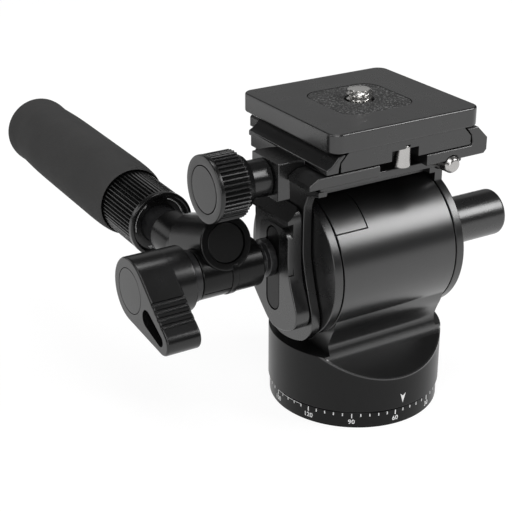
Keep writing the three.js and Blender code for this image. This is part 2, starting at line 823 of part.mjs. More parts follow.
// The lower ends lean forward into a round toe: shares of the half depth and of the drop, front to back
const plate_toe_shares = [
  [-1.01, 0.29],
  [-1.13, 0.04],
  [-1.33, -0.26],
  [-1.51, -0.5],
  [-1.46, -0.69],
  [-1.2, -0.83],
  [-0.92, -0.92],
  [-0.4, -0.98],
  [0.14, -1],
  [0.59, -0.94],
  [0.84, -0.82],
  [1, -0.62],
];
const slab_toe_shares = [
  [-1, 0.25],
  [-1.1, -0.04],
  [-1.36, -0.36],
  [-1.44, -0.58],
  [-1.31, -0.79],
  [-0.9, -0.94],
  [-0.37, -1],
  [-0.05, -0.95],
  [0.34, -0.77],
  [1, -0.42],
];
function armFoot(toe_shares, drop) {
  const shape = new THREE.Shape();
  shape.moveTo(-arm_half_depth, arm_shoulder_height - edge);
  for (const [y_share, z_share] of toe_shares) shape.lineTo(arm_half_depth * y_share, drop * z_share);
  return shape;
}
const arm_top = platform_top - platform_edge - gap;
const plate_outline = armFoot(plate_toe_shares, arm_plate_drop);
plate_outline.lineTo(arm_half_depth, arm_shoulder_height);
plate_outline.quadraticCurveTo(arm_half_depth, arm_top - arm_shoulder_edge,
  platform_back - arm_shoulder_inset, arm_top - arm_shoulder_edge);
plate_outline.lineTo(platform_back - arm_shoulder_inset, arm_top);
plate_outline.lineTo(arm_shoulder_inset - platform_front, arm_top);
plate_outline.lineTo(arm_shoulder_inset - platform_front, arm_top - arm_shoulder_edge);
plate_outline.quadraticCurveTo(-arm_half_depth, arm_top - arm_shoulder_edge, -arm_half_depth,
  arm_shoulder_height);

// The slab's top has two round corners and slopes down to its outer face
const slab_outline = armFoot(slab_toe_shares, arm_slab_drop);
slab_outline.absarc(arm_half_depth - arm_slab_corner, arm_slab_top - arm_slab_corner, arm_slab_corner, 0,
  quarter_turn, false);
slab_outline.absarc(arm_slab_corner - arm_half_depth, arm_slab_top - arm_slab_corner, arm_slab_corner,
  quarter_turn, 2 * quarter_turn, false);
const slab_slope = pulled('y', sideOutline([
  [-arm_slab_outer - over, arm_slab_top - arm_slab_fall],
  [-arm_slab_outer, arm_slab_top - arm_slab_fall],
  [-arm_slab_inner, arm_slab_top],
  [-arm_slab_inner, arm_slab_top + over],
  [-arm_slab_outer - over, arm_slab_top + over],
]), -platform_front, platform_back);
const stub_hole = shifted(rod('x', stub_spigot_radius + gap, -arm_slab_outer - over, over - arm_slab_inner),
  0, 0,
  stub_rise);
const jaw_screw_notch = shifted(
  rod('x', jaw_screw_radius + gap, -arm_slab_outer - over, over - cheek_outer), 0, -knob_forward, knob_rise);
piece(tilt, 'arm_inner_plate', cut(
  pulled('x', plate_outline, -arm_plate_outer, -arm_plate_inner, edge / 2),
  rod('x', shaft_screw_head_radius + gap, -arm_plate_outer - over, -cheek_outer), jaw_screw_notch,
  ...arm_screw_spots.map(([y, z]) => shifted(rod('x', arm_screw_head_radius + gap,
    -arm_plate_outer - over, arm_screw_head_height + gap - arm_plate_outer), 0, y, z)),
  ...arm_screw_holes), anodised);

const strip_low = strip_rise + strip_width / 2 - strip_length / 2;
const strip_high = strip_rise - strip_width / 2 + strip_length / 2;
function stripOutline(radius) {
  return beltOutline([-strip_forward, strip_low], radius, [-strip_forward, strip_high], radius);
}
const slab_screw_spots = [strip_low, strip_high - gap];
const slab_screw_inner = arm_screw_head_height + strip_depth + gap - arm_slab_outer;
const slab_screw_holes = slab_screw_spots.flatMap((z) => [
  shifted(rod('x', arm_screw_head_radius + gap, -arm_slab_outer - over, slab_screw_inner + gap), 0,
    -strip_forward, z),
  shifted(rod('x', arm_screw_radius + gap, -arm_slab_outer, over - arm_slab_inner), 0, -strip_forward, z),
]);
piece(tilt, 'arm_outer_slab', cut(
  pulled('x', slab_outline, -arm_slab_outer, -arm_slab_inner, edge),
  slab_slope,
  pulled('x', stripOutline(strip_width / 2 + gap), -arm_slab_outer - over,
    strip_depth + gap - arm_slab_outer),
  stub_hole, ...slab_screw_holes), anodised);
piece(tilt, 'arm_strip', cut(
  pulled('x', stripOutline(strip_width / 2), -arm_slab_outer, strip_depth - arm_slab_outer), stub_hole),
    matte_black);

// A cap screw along x with its head to the left, at the head's inner face
function screwToRight(face, length, radius, head_radius, head_height) {
  return join(rod('x', radius, face - over / 2, face + length, small_sides),
    rod('x', head_radius, face - head_height, face, small_sides, edge / 2));
}
arm_screw_spots.forEach(([y, z], i) => {
  const face = arm_screw_head_height - arm_plate_outer;
  piece(tilt, `arm_screw_${i + 1}`, shifted(screwToRight(face, arm_screw_length, arm_screw_radius,
    arm_screw_head_radius, arm_screw_head_height), 0, y, z), black_steel);
});
slab_screw_spots.forEach((z, i) => {
  const length = arm_slab_thickness - arm_screw_head_height - strip_depth - gap;
  piece(tilt, `slab_screw_${i + 1}`, shifted(screwToRight(slab_screw_inner, length, arm_screw_radius,
    arm_screw_head_radius, arm_screw_head_height), 0, -strip_forward, z), black_steel);
});

// Stubs: a bare one on the right, and the handle's one on the left arm

const right_stub_inner = cheek_outer + gap;
const right_stub_outer = cheek_outer + right_stub_length;
piece(tilt, 'right_stub', turned('x', [
  [0, cheek_outer - shaft_screw_depth],
  [shaft_screw_radius, cheek_outer - shaft_screw_depth],
  [shaft_screw_radius, right_stub_inner],
  [right_stub_radius + right_stub_flange, right_stub_inner],
  [right_stub_radius + right_stub_flange / 3, right_stub_inner + right_stub_flange / 3],
  [right_stub_radius, right_stub_inner + right_stub_flange],
  [right_stub_radius, right_stub_outer - stub_end_round],
  [right_stub_radius - stub_end_round / 3, right_stub_outer - stub_end_round / 3],
  [right_stub_radius - stub_end_round, right_stub_outer],
  [0, right_stub_outer],
]), anodised);

const stub_pin_end = nut_left + lever_nut_shank_length - lever_nut_floor - gap;
piece(tilt, 'handle_stub', shifted(turned('x', [
  [0, -stub_pin_end],
  [stub_pin_radius - edge, -stub_pin_end],
  [stub_pin_radius, edge - stub_pin_end],
  [stub_pin_radius, -stub_flange_outer],
  [stub_flange_radius - edge, -stub_flange_outer],
  [stub_flange_radius, edge - stub_flange_outer],
  [stub_flange_radius, -arm_slab_outer - gap],
  [stub_spigot_radius, -arm_slab_outer - gap],
  [stub_spigot_radius, -arm_slab_inner],
  [0, -arm_slab_inner],
]), 0, 0, stub_rise), black_steel);

// Quick release clamp: floor, fixed right jaw and keel in one piece

const flank_run = dovetail_half_width - dovetail_neck;
const flank_length = Math.hypot(flank_run, dovetail_flank);
const flank_x = gap * dovetail_flank / flank_length;
const flank_z = gap * flank_run / flank_length;
const lip_x = dovetail_neck + flank_x + flank_run * (flank_z + gap) / dovetail_flank;
const hollow_x = dovetail_half_width + jaw_hollow;
const clamp_side = sideOutline([
  [-rail_outer, clamp_bottom],
  [jaw_outer - jaw_foot, clamp_bottom],
  [jaw_outer, clamp_bottom + jaw_foot],
  [jaw_outer, jaw_top - jaw_bevel],
  [jaw_outer - jaw_bevel, jaw_top],
  [lip_x, jaw_top],
  [dovetail_half_width + flank_x, slab_bottom - dovetail_flank + flank_z],
  [hollow_x, clamp_top + jaw_foot],
  [hollow_x - gap, clamp_top],
  [rail_facet_width - rail_outer, clamp_top],
  [-rail_outer, clamp_top - rail_facet_height],
]);
const block_notch = box(-rail_outer - over, -floor_left, -jaw_block_front - gap, jaw_block_back + gap,
  clamp_bottom - over, clamp_top + over);
const keel = box(-cheek_outer, keel_right, -keel_front, keel_back, platform_top - keel_depth + gap,
  clamp_bottom + over);
const notch = (from, to) => box(-notch_left, notch_right, from, to, clamp_bottom - over, clamp_top + over);
const jaw_screw_hole = shifted(rod('x', jaw_screw_radius + gap, -arm_slab_outer - over,
  jaw_screw_reach - floor_left),
  0, -knob_forward, knob_rise);
const guide_height = (clamp_bottom + clamp_top) / 2;
const guide_places = [-1, 1].map((sign) => sign * guide_spread - knob_forward);
const guide_holes = guide_places.map((y) => shifted(
  rod('x', guide_radius + gap, -floor_left - over, guide_in_floor - floor_left + gap), 0, y, guide_height));
const clamp_screw_sinks = clamp_screw_places.map((x) => shifted(
  rod('z', clamp_screw_head_radius + gap, clamp_top - clamp_screw_head_height - gap, clamp_top + over), x,
  clamp_screw_back, 0));
piece(tilt, 'clamp_body', cut(
  join(pulled('y', clamp_side, -clamp_front, clamp_back, edge / 2), keel),
  block_notch,
  notch(-clamp_front - over, notch_depth - clamp_front),
    notch(clamp_back - back_notch_depth, clamp_back + over),
  jaw_screw_hole, catch_bore, ...guide_holes, ...clamp_screw_holes, ...clamp_screw_sinks), anodised);

clamp_screw_places.forEach((x, i) => {
  const head_bottom = clamp_top - clamp_screw_head_height;
  piece(tilt, `clamp_screw_${i + 1}`, shifted(join(
    rod('z', clamp_screw_radius, clamp_top - clamp_screw_length, head_bottom + over / 2),
    rod('z', clamp_screw_head_radius, head_bottom, clamp_top - gap / 2, small_sides, edge / 2)), x,
      clamp_screw_back, 0),
  black_steel);
});
guide_places.forEach((y, i) => {
  piece(tilt, `guide_pin_${i + 1}`, shifted(rod('x', guide_radius, -floor_left - gap - guide_in_jaw,
    guide_in_floor - floor_left), 0, y, guide_height), steel);
});

// Moving jaw with the block that its screw runs through

const jaw_inner = floor_left + gap;
const jaw_bottom = clamp_top + gap;
// The bar's outer side as shares of its width and height, from its foot up to the lip
const jaw_back_shares = [
  [0, 0],
  [0, 0.29],
  [0.28, 0.48],
  [0.6, 0.9],
  [0.75, 1],
];
const jaw_side = sideOutline([
  [-lip_x, jaw_top],
  [-dovetail_half_width - flank_x, slab_bottom - dovetail_flank + flank_z],
  [-hollow_x, jaw_bottom + jaw_foot],
  [-hollow_x, jaw_bottom],
  ...jaw_back_shares.map(([inward, up]) => [
    inward * (moving_jaw_outer - lip_x) - moving_jaw_outer,
    jaw_bottom + up * (jaw_top - jaw_bottom),
  ]),
]);
const block_side = sideOutline([
  [-jaw_inner, clamp_bottom],
  [-block_inner, clamp_bottom],
  [-block_inner, jaw_block_low],
  [-jaw_block_outer, jaw_block_low],
  [-jaw_block_outer, jaw_block_high],
  [-jaw_slope_inner, jaw_block_high],
  [-moving_jaw_outer + jaw_foot, jaw_bottom + jaw_foot],
  [-jaw_inner, jaw_bottom + jaw_foot],
]);
const jaw_guide_holes = guide_places.map((y) => shifted(
  rod('x', guide_radius + gap, -jaw_inner - guide_in_jaw - gap, over - jaw_inner), 0, y, guide_height));
piece(tilt, 'moving_jaw', cut(
  join(pulled('y', jaw_side, -clamp_front, clamp_back, edge / 2),
    pulled('y', block_side, -jaw_block_front, jaw_block_back, edge / 2)),
  shifted(rod('x', jaw_screw_radius + gap, -jaw_block_outer - over, over - jaw_inner), 0, -knob_forward,
    knob_rise),
  ...jaw_guide_holes), anodised);

// Knob and screw that open and close the jaw

const knob = new THREE.Group();
knob.position.set(0, -knob_forward, knob_rise);
tilt.add(knob);
piece(knob, 'jaw_screw', rod('x', jaw_screw_radius, -knob_right - jaw_screw_in_knob,
  jaw_screw_reach - floor_left - gap, small_sides, edge), steel);
const knob_cap_floor = knob_cap_thickness + gap - knob_left;
const knob_waist = knob_right + knob_boss_length;
const knob_core = turned('x', [
  [0, -knob_left],
  [knob_radius - edge, -knob_left],
  [knob_radius, edge - knob_left],
  [knob_radius, knob_rim - knob_left],
  [knob_back_radius, knob_rim - knob_left],
  [knob_back_radius, -knob_waist - knob_taper - knob_rim / 2],
  [knob_radius - knob_flute_depth - gap, -knob_waist - knob_taper],
  [knob_back_radius, -knob_waist],
  [knob_boss_radius, -knob_waist],
  [knob_boss_radius, -knob_right],
  [0, -knob_right],
], medium_sides);
const knob_ribs = pulled('x', flutedOutline(knob_radius - edge / 4, knob_flute_depth, knob_flutes),
  knob_rim / 2 - knob_left, -knob_waist - knob_taper);
piece(knob, 'qr_knob', cut(join(knob_core, knob_ribs),
  rod('x', knob_cap_radius + gap, -knob_left - over, knob_cap_floor, medium_sides),
  rod('x', jaw_screw_radius + gap, -knob_right - jaw_screw_in_knob - gap, over - knob_right)), anodised);
piece(knob, 'knob_cap', rod('x', knob_cap_radius, -knob_left, knob_cap_thickness - knob_left, medium_sides,
  edge / 4), dark_anodised);

// Safety catch and the spring behind it

const catch_group = new THREE.Group();
catch_group.position.set(catch_right, 0, catch_rise);
tilt.add(catch_group);
piece(catch_group, 'safety_catch', rod('y', catch_radius, -catch_front, -catch_back, small_sides, edge),
  steel);
const spring_front = gap - catch_back;
piece(catch_group, 'catch_spring', spring('y', catch_radius - 2 * catch_spring_wire, catch_spring_wire,
  catch_spring_turns, spring_front, spring_front + catch_spring_length), steel);

// Quick release plate with its pad, camera screw and stop screws

const plate_side = sideOutline([
  [-dovetail_neck, slab_bottom + over],
  [-dovetail_neck, slab_bottom],
  [-dovetail_half_width, slab_bottom - dovetail_flank],
  [-dovetail_half_width, plate_bottom],
  [dovetail_half_width, plate_bottom],
  [dovetail_half_width, slab_bottom - dovetail_flank],
  [dovetail_neck, slab_bottom],
  [dovetail_neck, slab_bottom + over],
]);
const slab = pulled('z', roundedOutline(-plate_half_width, plate_half_width, -plate_front, plate_back,
  plate_corner),
  slab_bottom, plate_top, edge);
const dovetail = pulled('y', plate_side, -plate_front + edge, plate_back - edge);
const pad_outline = (grow) => roundedOutline(-pad_width / 2 - grow, pad_width / 2 + grow,
  plate_middle - pad_width / 2 - grow, plate_middle + pad_width / 2 + grow, pad_corner + grow);
const head_seat = plate_bottom + dovetail_channel_depth + camera_head_thickness;
const camera_hole = (radius, from, to) => shifted(rod('z', radius, from, to, hidden_sides), 0, plate_middle,
  0);
const stop_places = [stop_pin_inset - plate_front, plate_back - stop_pin_inset];
const stop_holes = stop_places.map((y) => shifted(
  rod('z', stop_pin_radius + gap, plate_bottom - over, plate_bottom + stop_pin_depth + gap), 0, y, 0));
piece(tilt, 'qr_plate', cut(join(slab, dovetail),
  pulled('z', pad_outline(gap), plate_top - pad_thickness - gap, plate_top + over),
  box(-dovetail_channel_width / 2, dovetail_channel_width / 2, -plate_front - over, plate_back + over,
    plate_bottom - over, plate_bottom + dovetail_channel_depth),
  camera_hole(camera_head_radius + gap, plate_bottom - over, head_seat + gap),
  camera_hole(camera_screw_hole, plate_bottom, plate_top + over), ...stop_holes), anodised);
piece(tilt, 'plate_pad', cut(pulled('z', pad_outline(0), plate_top - pad_thickness, plate_top),
  camera_hole(camera_screw_hole, plate_top - pad_thickness - over, plate_top + over)), rubber);
piece(tilt, 'camera_screw', shifted(turned('z', [
  [0, plate_bottom + dovetail_channel_depth],
  [camera_head_radius - edge, plate_bottom + dovetail_channel_depth],
  [camera_head_radius, plate_bottom + dovetail_channel_depth + edge],
  [camera_head_radius, head_seat],
  [camera_screw_radius, head_seat],
  [camera_screw_radius, plate_top + camera_screw_length - edge],
  [camera_screw_radius - edge, plate_top + camera_screw_length],
  [0, plate_top + camera_screw_length],
], hidden_sides), 0, plate_middle, 0), steel);
stop_places.forEach((y, i) => {
  piece(tilt, `plate_stop_${i === 0 ? 'front' : 'back'}`, shifted(rod('z', stop_pin_radius,
    plate_bottom - stop_pin_drop, plate_bottom + stop_pin_depth, small_sides, edge), 0, y, 0), steel);
});

// Lever on the stub: nut, screw, cap and the lever itself

const lever = new THREE.Group();
lever.position.set(0, 0, stub_rise);
tilt.add(lever);
const nut_end = nut_left + lever_nut_shank_length;
piece(lever, 'lever_nut', turned('x', [
  [lever_screw_radius + gap, -nut_end],
  [lever_nut_shank_radius, -nut_end],
  [lever_nut_shank_radius, -nut_left],
  [lever_nut_radius - edge, -nut_left],
  [lever_nut_radius, edge - nut_left],
  [lever_nut_radius, -nut_right - edge],
  [lever_nut_radius - edge, -nut_right],
  [stub_pin_radius + gap, -nut_right],
  [stub_pin_radius + gap, lever_nut_floor - nut_end],
  [lever_screw_radius + gap, lever_nut_floor - nut_end],
  [lever_screw_radius + gap, -nut_end],
]), black_steel);

// A place on the lever's wing: so far along it from the hub, so far to its upper side
function onWing(along, up) {
  return [
    -along * Math.cos(lever_droop) - up * Math.sin(lever_droop),
    -along * Math.sin(lever_droop) + up * Math.cos(lever_droop),
  ];
}
const wing = pulled('x', beltOutline([0, 0], lever_hub_radius, onWing(lever_reach, 0), lever_tip_radius),
  -lever_left, lever_wing_width - lever_left, edge, wing_segments);
const pocket = pulled('x', beltOutline(onWing(lever_pocket_near, 0), lever_pocket_back_radius,
  onWing(lever_pocket_far, 0), lever_pocket_tip_radius), -lever_left - over,
    lever_pocket_depth - lever_left);
const wing_slope = (lever_hub_radius - lever_tip_radius) / lever_reach;
const wing_grooves = Array.from({ length: lever_grooves }, (_, i) => {
  const along = lever_groove_start + i * lever_groove_pitch;
  const [y, z] = onWing(along, (lever_hub_radius - along * wing_slope) / Math.cos(Math.asin(wing_slope)));
  return shifted(rod('x', lever_groove_radius, 2 * edge - lever_left, lever_wing_width - lever_left + over,
    lever_groove_sides), 0, y, z);
});
const cap_floor = lever_cap_thickness + gap - lever_left;
const screw_floor = cap_floor + lever_screw_head_height + gap;
piece(lever, 'lever', cut(
  join(wing, rod('x', lever_hub_radius, -lever_left, -lever_right, medium_sides, edge)),
  pocket,
  rod('x', lever_cap_radius + gap, -lever_left - over, cap_floor, medium_sides),
  rod('x', lever_screw_head_radius + gap, -lever_left, screw_floor),
  rod('x', lever_screw_radius + gap, -lever_left, -lever_right),
  rod('x', lever_nut_shank_radius + gap, -nut_end - gap, over - lever_right, hidden_sides),
  ...wing_grooves), anodised);
piece(lever, 'lever_cap', rod('x', lever_cap_radius, -lever_left, lever_cap_thickness - lever_left,
  medium_sides,
  edge / 4), dark_anodised);
piece(lever, 'lever_screw', screwToRight(screw_floor - gap, lever_screw_length, lever_screw_radius,
  lever_screw_head_radius, lever_screw_head_height), steel);

// Handle: knuckle on the stub, then tube, lock collar and grip along +Y of the handle's own frame

const knuckle_low = handle_x - knuckle_left;
const knuckle_high = handle_x - knuckle_right;
const band_middle = (knuckle_low + knuckle_high) / 2;
const cap_seat = boss_cap_recess + boss_cap_thickness - boss_forward;
const pitched = (geometry) => shifted(geometry.rotateX(-boss_pitch), 0, 0, boss_rise);
const boss = cut(
  pitched(rod('y', boss_radius, -boss_forward, boss_length - boss_forward, medium_sides, edge)),
  pitched(rod('y', boss_cap_radius + gap, -boss_forward - over, cap_seat + gap, medium_sides)));
const neck = turned('y', [
  [0, neck_root / 2],
  [neck_root_radius, neck_root / 2],
  [neck_root_radius, neck_root],
  [neck_radius, neck_root + neck_root_radius],
  [neck_radius, neck_length - edge],
  [neck_radius - edge, neck_length],
  [0, neck_length],
]);
const handle_bore = rod('x', stub_pin_radius + gap, knuckle_low - boss_radius, knuckle_high + over,
  hidden_sides);
const nut_room = rod('x', lever_nut_radius + gap, knuckle_low - boss_radius, knuckle_low, medium_sides);
piece(handle, 'handle_knuckle', cut(
  join(rod('x', knuckle_radius, knuckle_low, knuckle_high, medium_sides, edge),
    rod('x', knuckle_radius + knuckle_band_height, band_middle - knuckle_band_width / 2,
      band_middle + knuckle_band_width / 2, medium_sides), boss, neck),
  handle_bore, nut_room,
  rod('y', inner_tube_radius + gap, inner_tube_start - gap, neck_length + over, medium_sides)),
    dark_anodised);
const boss_cap = pitched(rod('y', boss_cap_radius, boss_cap_recess - boss_forward, cap_seat, medium_sides,
  edge / 2));
piece(handle, 'knuckle_cap', cut(boss_cap,
  rod('x', knuckle_radius + knuckle_band_height + gap, -boss_radius, boss_radius, medium_sides), nut_room),
    matte_black);

piece(handle, 'inner_tube', ring('y', inner_tube_radius - inner_tube_wall, inner_tube_radius,
  inner_tube_start,
  inner_tube_end), black_steel);
piece(handle, 'outer_tube', ring('y', inner_tube_radius + gap, outer_tube_radius, outer_tube_start,
  outer_tube_end),
  dark_anodised);
piece(handle, 'grip_plug', rod('y', inner_tube_radius, outer_tube_end - plug_length, outer_tube_end - gap,
  small_sides, edge), matte_black);
piece(handle, 'lock_collet', ring('y', inner_tube_radius + gap, outer_tube_radius, collar_floor + gap,
  collet_end), acetal);
const collar_root = collar_radius - collar_flute_depth;
const collar_core = turned('y', [
  [collar_recess_radius, collar_start],
  [collar_radius - edge, collar_start],
  [collar_radius, collar_start + edge],
  [collar_radius, collar_start + collar_rim_width],
  [collar_root - gap, collar_start + collar_rim_width],
  [collar_root - gap, collar_end],
  [outer_tube_radius + gap, collar_end],
  [outer_tube_radius + gap, collar_floor],
  [inner_tube_radius + gap, collar_floor],
  [inner_tube_radius + gap, collar_floor - collar_wall],
  [collar_recess_radius, collar_floor - collar_wall],
  [collar_recess_radius, collar_start],
], medium_sides);
const collar_ribs = cut(
  pulled('y', flutedOutline(collar_radius - edge / 4, collar_flute_depth, collar_flutes),
    collar_start + collar_rim_width - edge, collar_end - edge),
  rod('y', outer_tube_radius + 2 * gap, collar_start, collar_end + over, medium_sides));
piece(handle, 'lock_collar', join(collar_core, collar_ribs), dark_anodised);

// A rounded end as a few points of a quarter ellipse
const end_angles = [0, 1, 2, 3].map((i) => i / 3 * quarter_turn);
const grip_waist_place = grip_end - grip_waist_from_end;
piece(handle, 'foam_grip', turned('y', [
  [grip_mouth_radius, grip_start],
  [grip_mouth_radius + edge, grip_start],
  [grip_radius, grip_start + grip_mouth_depth],
  [grip_radius, grip_waist_place - grip_round],
  [grip_radius - grip_waist, grip_waist_place],
  [grip_radius, grip_waist_place + grip_round],
  ...end_angles.map((angle) => [
    grip_radius - grip_round + grip_round * Math.cos(angle),
    grip_end - grip_round + grip_round * Math.sin(angle),
  ]),
  [0, grip_end],
  [0, outer_tube_end + gap],
  [outer_tube_radius + gap, outer_tube_end + gap],
  [outer_tube_radius + gap, grip_start + grip_mouth_depth],
  [grip_mouth_radius, grip_start + grip_mouth_depth],
  [grip_mouth_radius, grip_start],
]), foam);

export default head;
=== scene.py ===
# %% [markdown]
# # A small fluid head
# A fluid head holds a camera on a tripod: it turns on its base, tilts against the drag in its barrel, and
# is steered by a long handle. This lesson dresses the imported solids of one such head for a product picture.
# Every solid that has the right shape stays and gets softened edges and a finish. A solid whose real piece
# is rounder, fluted or threaded is hidden, and a finer mesh stands in its place.

# %% Load the frame
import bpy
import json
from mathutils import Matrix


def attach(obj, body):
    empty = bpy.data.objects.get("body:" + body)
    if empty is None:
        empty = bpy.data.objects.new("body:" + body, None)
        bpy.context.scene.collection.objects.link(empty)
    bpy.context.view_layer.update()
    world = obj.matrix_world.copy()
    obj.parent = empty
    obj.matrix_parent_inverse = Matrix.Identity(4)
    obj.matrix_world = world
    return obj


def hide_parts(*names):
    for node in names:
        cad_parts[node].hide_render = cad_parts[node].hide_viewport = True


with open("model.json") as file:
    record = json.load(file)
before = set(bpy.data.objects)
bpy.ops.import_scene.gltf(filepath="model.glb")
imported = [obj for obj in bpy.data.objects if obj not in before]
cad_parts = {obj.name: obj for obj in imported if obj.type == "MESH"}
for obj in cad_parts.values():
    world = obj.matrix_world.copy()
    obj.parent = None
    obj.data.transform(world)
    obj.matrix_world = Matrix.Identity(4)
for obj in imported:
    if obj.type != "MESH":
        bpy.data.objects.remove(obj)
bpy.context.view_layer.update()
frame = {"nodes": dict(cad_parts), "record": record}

# %% Tools and units
import json
import math

import bmesh
import bpy
from mathutils import Matrix, Vector

MM = 0.001
QUARTER = math.pi / 2
FULL = math.pi * 2
scene = bpy.context.scene

# %% [markdown]
# ## Where things are
# The solids are in metres, but a workshop thinks in millimetres, so each piece is drawn in millimetres in
# its own corner of the head. A matrix for each corner then carries it to its place: the tilt axis, the stub
# that carries the handle, the handle itself, and the knob's screw.

# %% Corners of the head
TILT_HEIGHT = 40.8
STUB_HEIGHT = 43.8
HANDLE_SIDE = -40.6
HANDLE_LIFT = math.radians(2)
LOCK_HEIGHT = 11.6
CATCH_SIDE, CATCH_HEIGHT = 13.6, 25.2  # the safety catch, to the right of the middle and above the tilt axis
base_place = Matrix.Identity(4)
tilt_place = Matrix.Translation((0, 0, TILT_HEIGHT))
stub_place = Matrix.Translation((0, 0, STUB_HEIGHT))
handle_place = Matrix.Translation((HANDLE_SIDE, 0, STUB_HEIGHT)) @ Matrix.Rotation(HANDLE_LIFT, 4, "X")
knob_place = Matrix.Translation((0, -4, 66.6))
print("tilt axis at", TILT_HEIGHT, "mm, handle's stub at", STUB_HEIGHT, "mm")

# %% [markdown]
# ## Turned pieces
# Most pieces of a head come off a lathe. A turned piece is a profile, given as (radius, place) pairs along
# an axis, carried round that axis. Real edges are never sharp, so every corner of a profile is first
# softened to a small arc: that arc is what catches the light.

# %% Soften the corners of a profile
CORNER_STEPS = 4
LONGEST_REACH = 0.45  # the most of a side that the arc at one of its ends may take


def softened(points, radius, closed=False):
    """The outline with small arcs for corners. A point may carry its own radius as a third value."""
    made = []
    count = len(points)
    for i, point in enumerate(points):
        here = Vector(point[:2])
        wanted = point[2] if len(point) > 2 else radius
        if (not closed and i in (0, count - 1)) or wanted == 0:
            made.append(tuple(here))
            continue
        before = Vector(points[i - 1][:2]) - here
        after = Vector(points[(i + 1) % count][:2]) - here
        between = before.angle(after)
        reach = min(wanted / math.tan(between / 2), before.length * LONGEST_REACH,
                    after.length * LONGEST_REACH)
        start = here + before.normalized() * reach
        end = here + after.normalized() * reach
        for step in range(CORNER_STEPS + 1):
            t = step / CORNER_STEPS
            made.append(tuple(start * (1 - t) ** 2 + here * 2 * t * (1 - t) + end * t ** 2))
    return made


# %% Turn a profile round an axis
AXES = {"x": (1, 2, 0), "y": (2, 0, 1), "z": (0, 1, 2)}
ON_AXIS = 1e-6


def turned(profile, axis="z", steps=96, shape=None):
    """A mesh of the profile turned round the axis. shape(angle, radius, place) can change the radius."""
    build = bmesh.new()
    first, second, along = AXES[axis]
    rings = []
    for radius, place in profile:
        ring = []
        for step in range(1 if radius < ON_AXIS else steps):
            angle = step / steps * FULL
            reach = shape(angle, radius, place) if shape else radius
            corner = [0, 0, 0]
            corner[first] = reach * math.cos(angle)
            corner[second] = reach * math.sin(angle)
            corner[along] = place
            ring.append(build.verts.new(corner))
        rings.append(ring)
    if profile[0] == profile[-1] and profile[0][0] > 0:
        for corner in rings.pop():
            build.verts.remove(corner)
        rings.append(rings[0])
    for low, high in zip(rings, rings[1:]):
        for step in range(steps):
            corners = [low[step % len(low)], low[(step + 1) % len(low)],
                       high[(step + 1) % len(high)], high[step % len(high)]]
            corners = list(dict.fromkeys(corners))
            if len(corners) > 2:
                build.faces.new(corners)
    return finished(build)


def finished(build):
    """The bmesh as a mesh with its faces pointing out."""
    bmesh.ops.recalc_face_normals(build, faces=build.faces)
    mesh = bpy.data.meshes.new("shape")
    build.to_mesh(mesh)
    build.free()
    return mesh


def lathed(profile, rounding, axis, steps=96):
    """A plain turned piece with softened corners. A profile that starts off the axis is closed to a ring."""
    if profile[0][0] == 0:
        return turned(softened(profile, rounding), axis, steps)
    ring = softened(profile, rounding, closed=True)
    return turned([*ring, ring[0]], axis, steps)


def rod(axis, radius, low, high, rounding=0.0, steps=96):
    """A round bar, its ends rounded over."""
    return lathed([(0, low, 0), (radius, low), (radius, high), (0, high, 0)], rounding, axis, steps)


def tube(axis, inner, outer, low, high, rounding=0.0, steps=96):
    """A round tube or washer."""
    return lathed([(inner, low), (outer, low), (outer, high), (inner, high)], rounding, axis, steps)


# %% [markdown]
# ## Milled pieces
# The arms, jaws and plate are cut from bar. Each is an outline pulled along an axis, with its long edges
# rounded over by the cutter. The rounding is built into the mesh as a few narrow bands, each a little
# further in than the last.

# %% Pull an outline along an axis
LEAST_STRETCH = 0.3  # keeps a needle-sharp corner from moving in too far


def inward(loop, distance):
    """The closed outline moved inwards by a distance."""
    moved = []
    for i, here in enumerate(loop):
        before = (Vector(here) - Vector(loop[i - 1])).normalized()
        after = (Vector(loop[(i + 1) % len(loop)]) - Vector(here)).normalized()
        normal = Vector((-before.y - after.y, before.x + after.x)).normalized()
        stretch = max(normal.dot(Vector((-before.y, before.x))), LEAST_STRETCH)
        moved.append(tuple(Vector(here) + normal * distance / stretch))
    return moved


def area(loop):
    """The area of an outline, negative where it runs clockwise."""
    return sum(a[0] * b[1] - b[0] * a[1] for a, b in zip(loop, loop[1:] + loop[:1])) / 2


def milled(loop, axis, low, high, rounding=0.4, bands=4):
    """A closed outline as a solid bar along the axis, its end edges rounded."""
    first, second, along = AXES[axis]
    loop = loop if area(loop) > 0 else loop[::-1]
    build = bmesh.new()
    levels = []
    for step in range(bands + 1):
        angle = step / bands * QUARTER
        levels.append((rounding * (1 - math.sin(angle)), low + rounding * (1 - math.cos(angle))))
    levels += [(inset, low + high - place) for inset, place in reversed(levels)]
    if rounding == 0:
        levels = [(0, low), (0, high)]
    rings = []
    for inset, place in levels:
        ring = []
        for u, v in (inward(loop, inset) if inset > 0 else loop):
            corner = [0, 0, 0]
            corner[first], corner[second], corner[along] = u, v, place
            ring.append(build.verts.new(corner))
        rings.append(ring)
    for below, above in zip(rings, rings[1:]):
        for i in range(len(loop)):
            j = (i + 1) % len(loop)
            build.faces.new([below[i], below[j], above[j], above[i]])
    build.faces.new(rings[0][::-1])
    build.faces.new(rings[-1])
    return finished(build)


def block(x, y, z):
    """A plain block for cutting and joining, from its lowest to its highest corner."""
    corners = [(y[0], z[0]), (y[1], z[0]), (y[1], z[1]), (y[0], z[1])]
    return milled(corners, "x", x[0], x[1], 0)


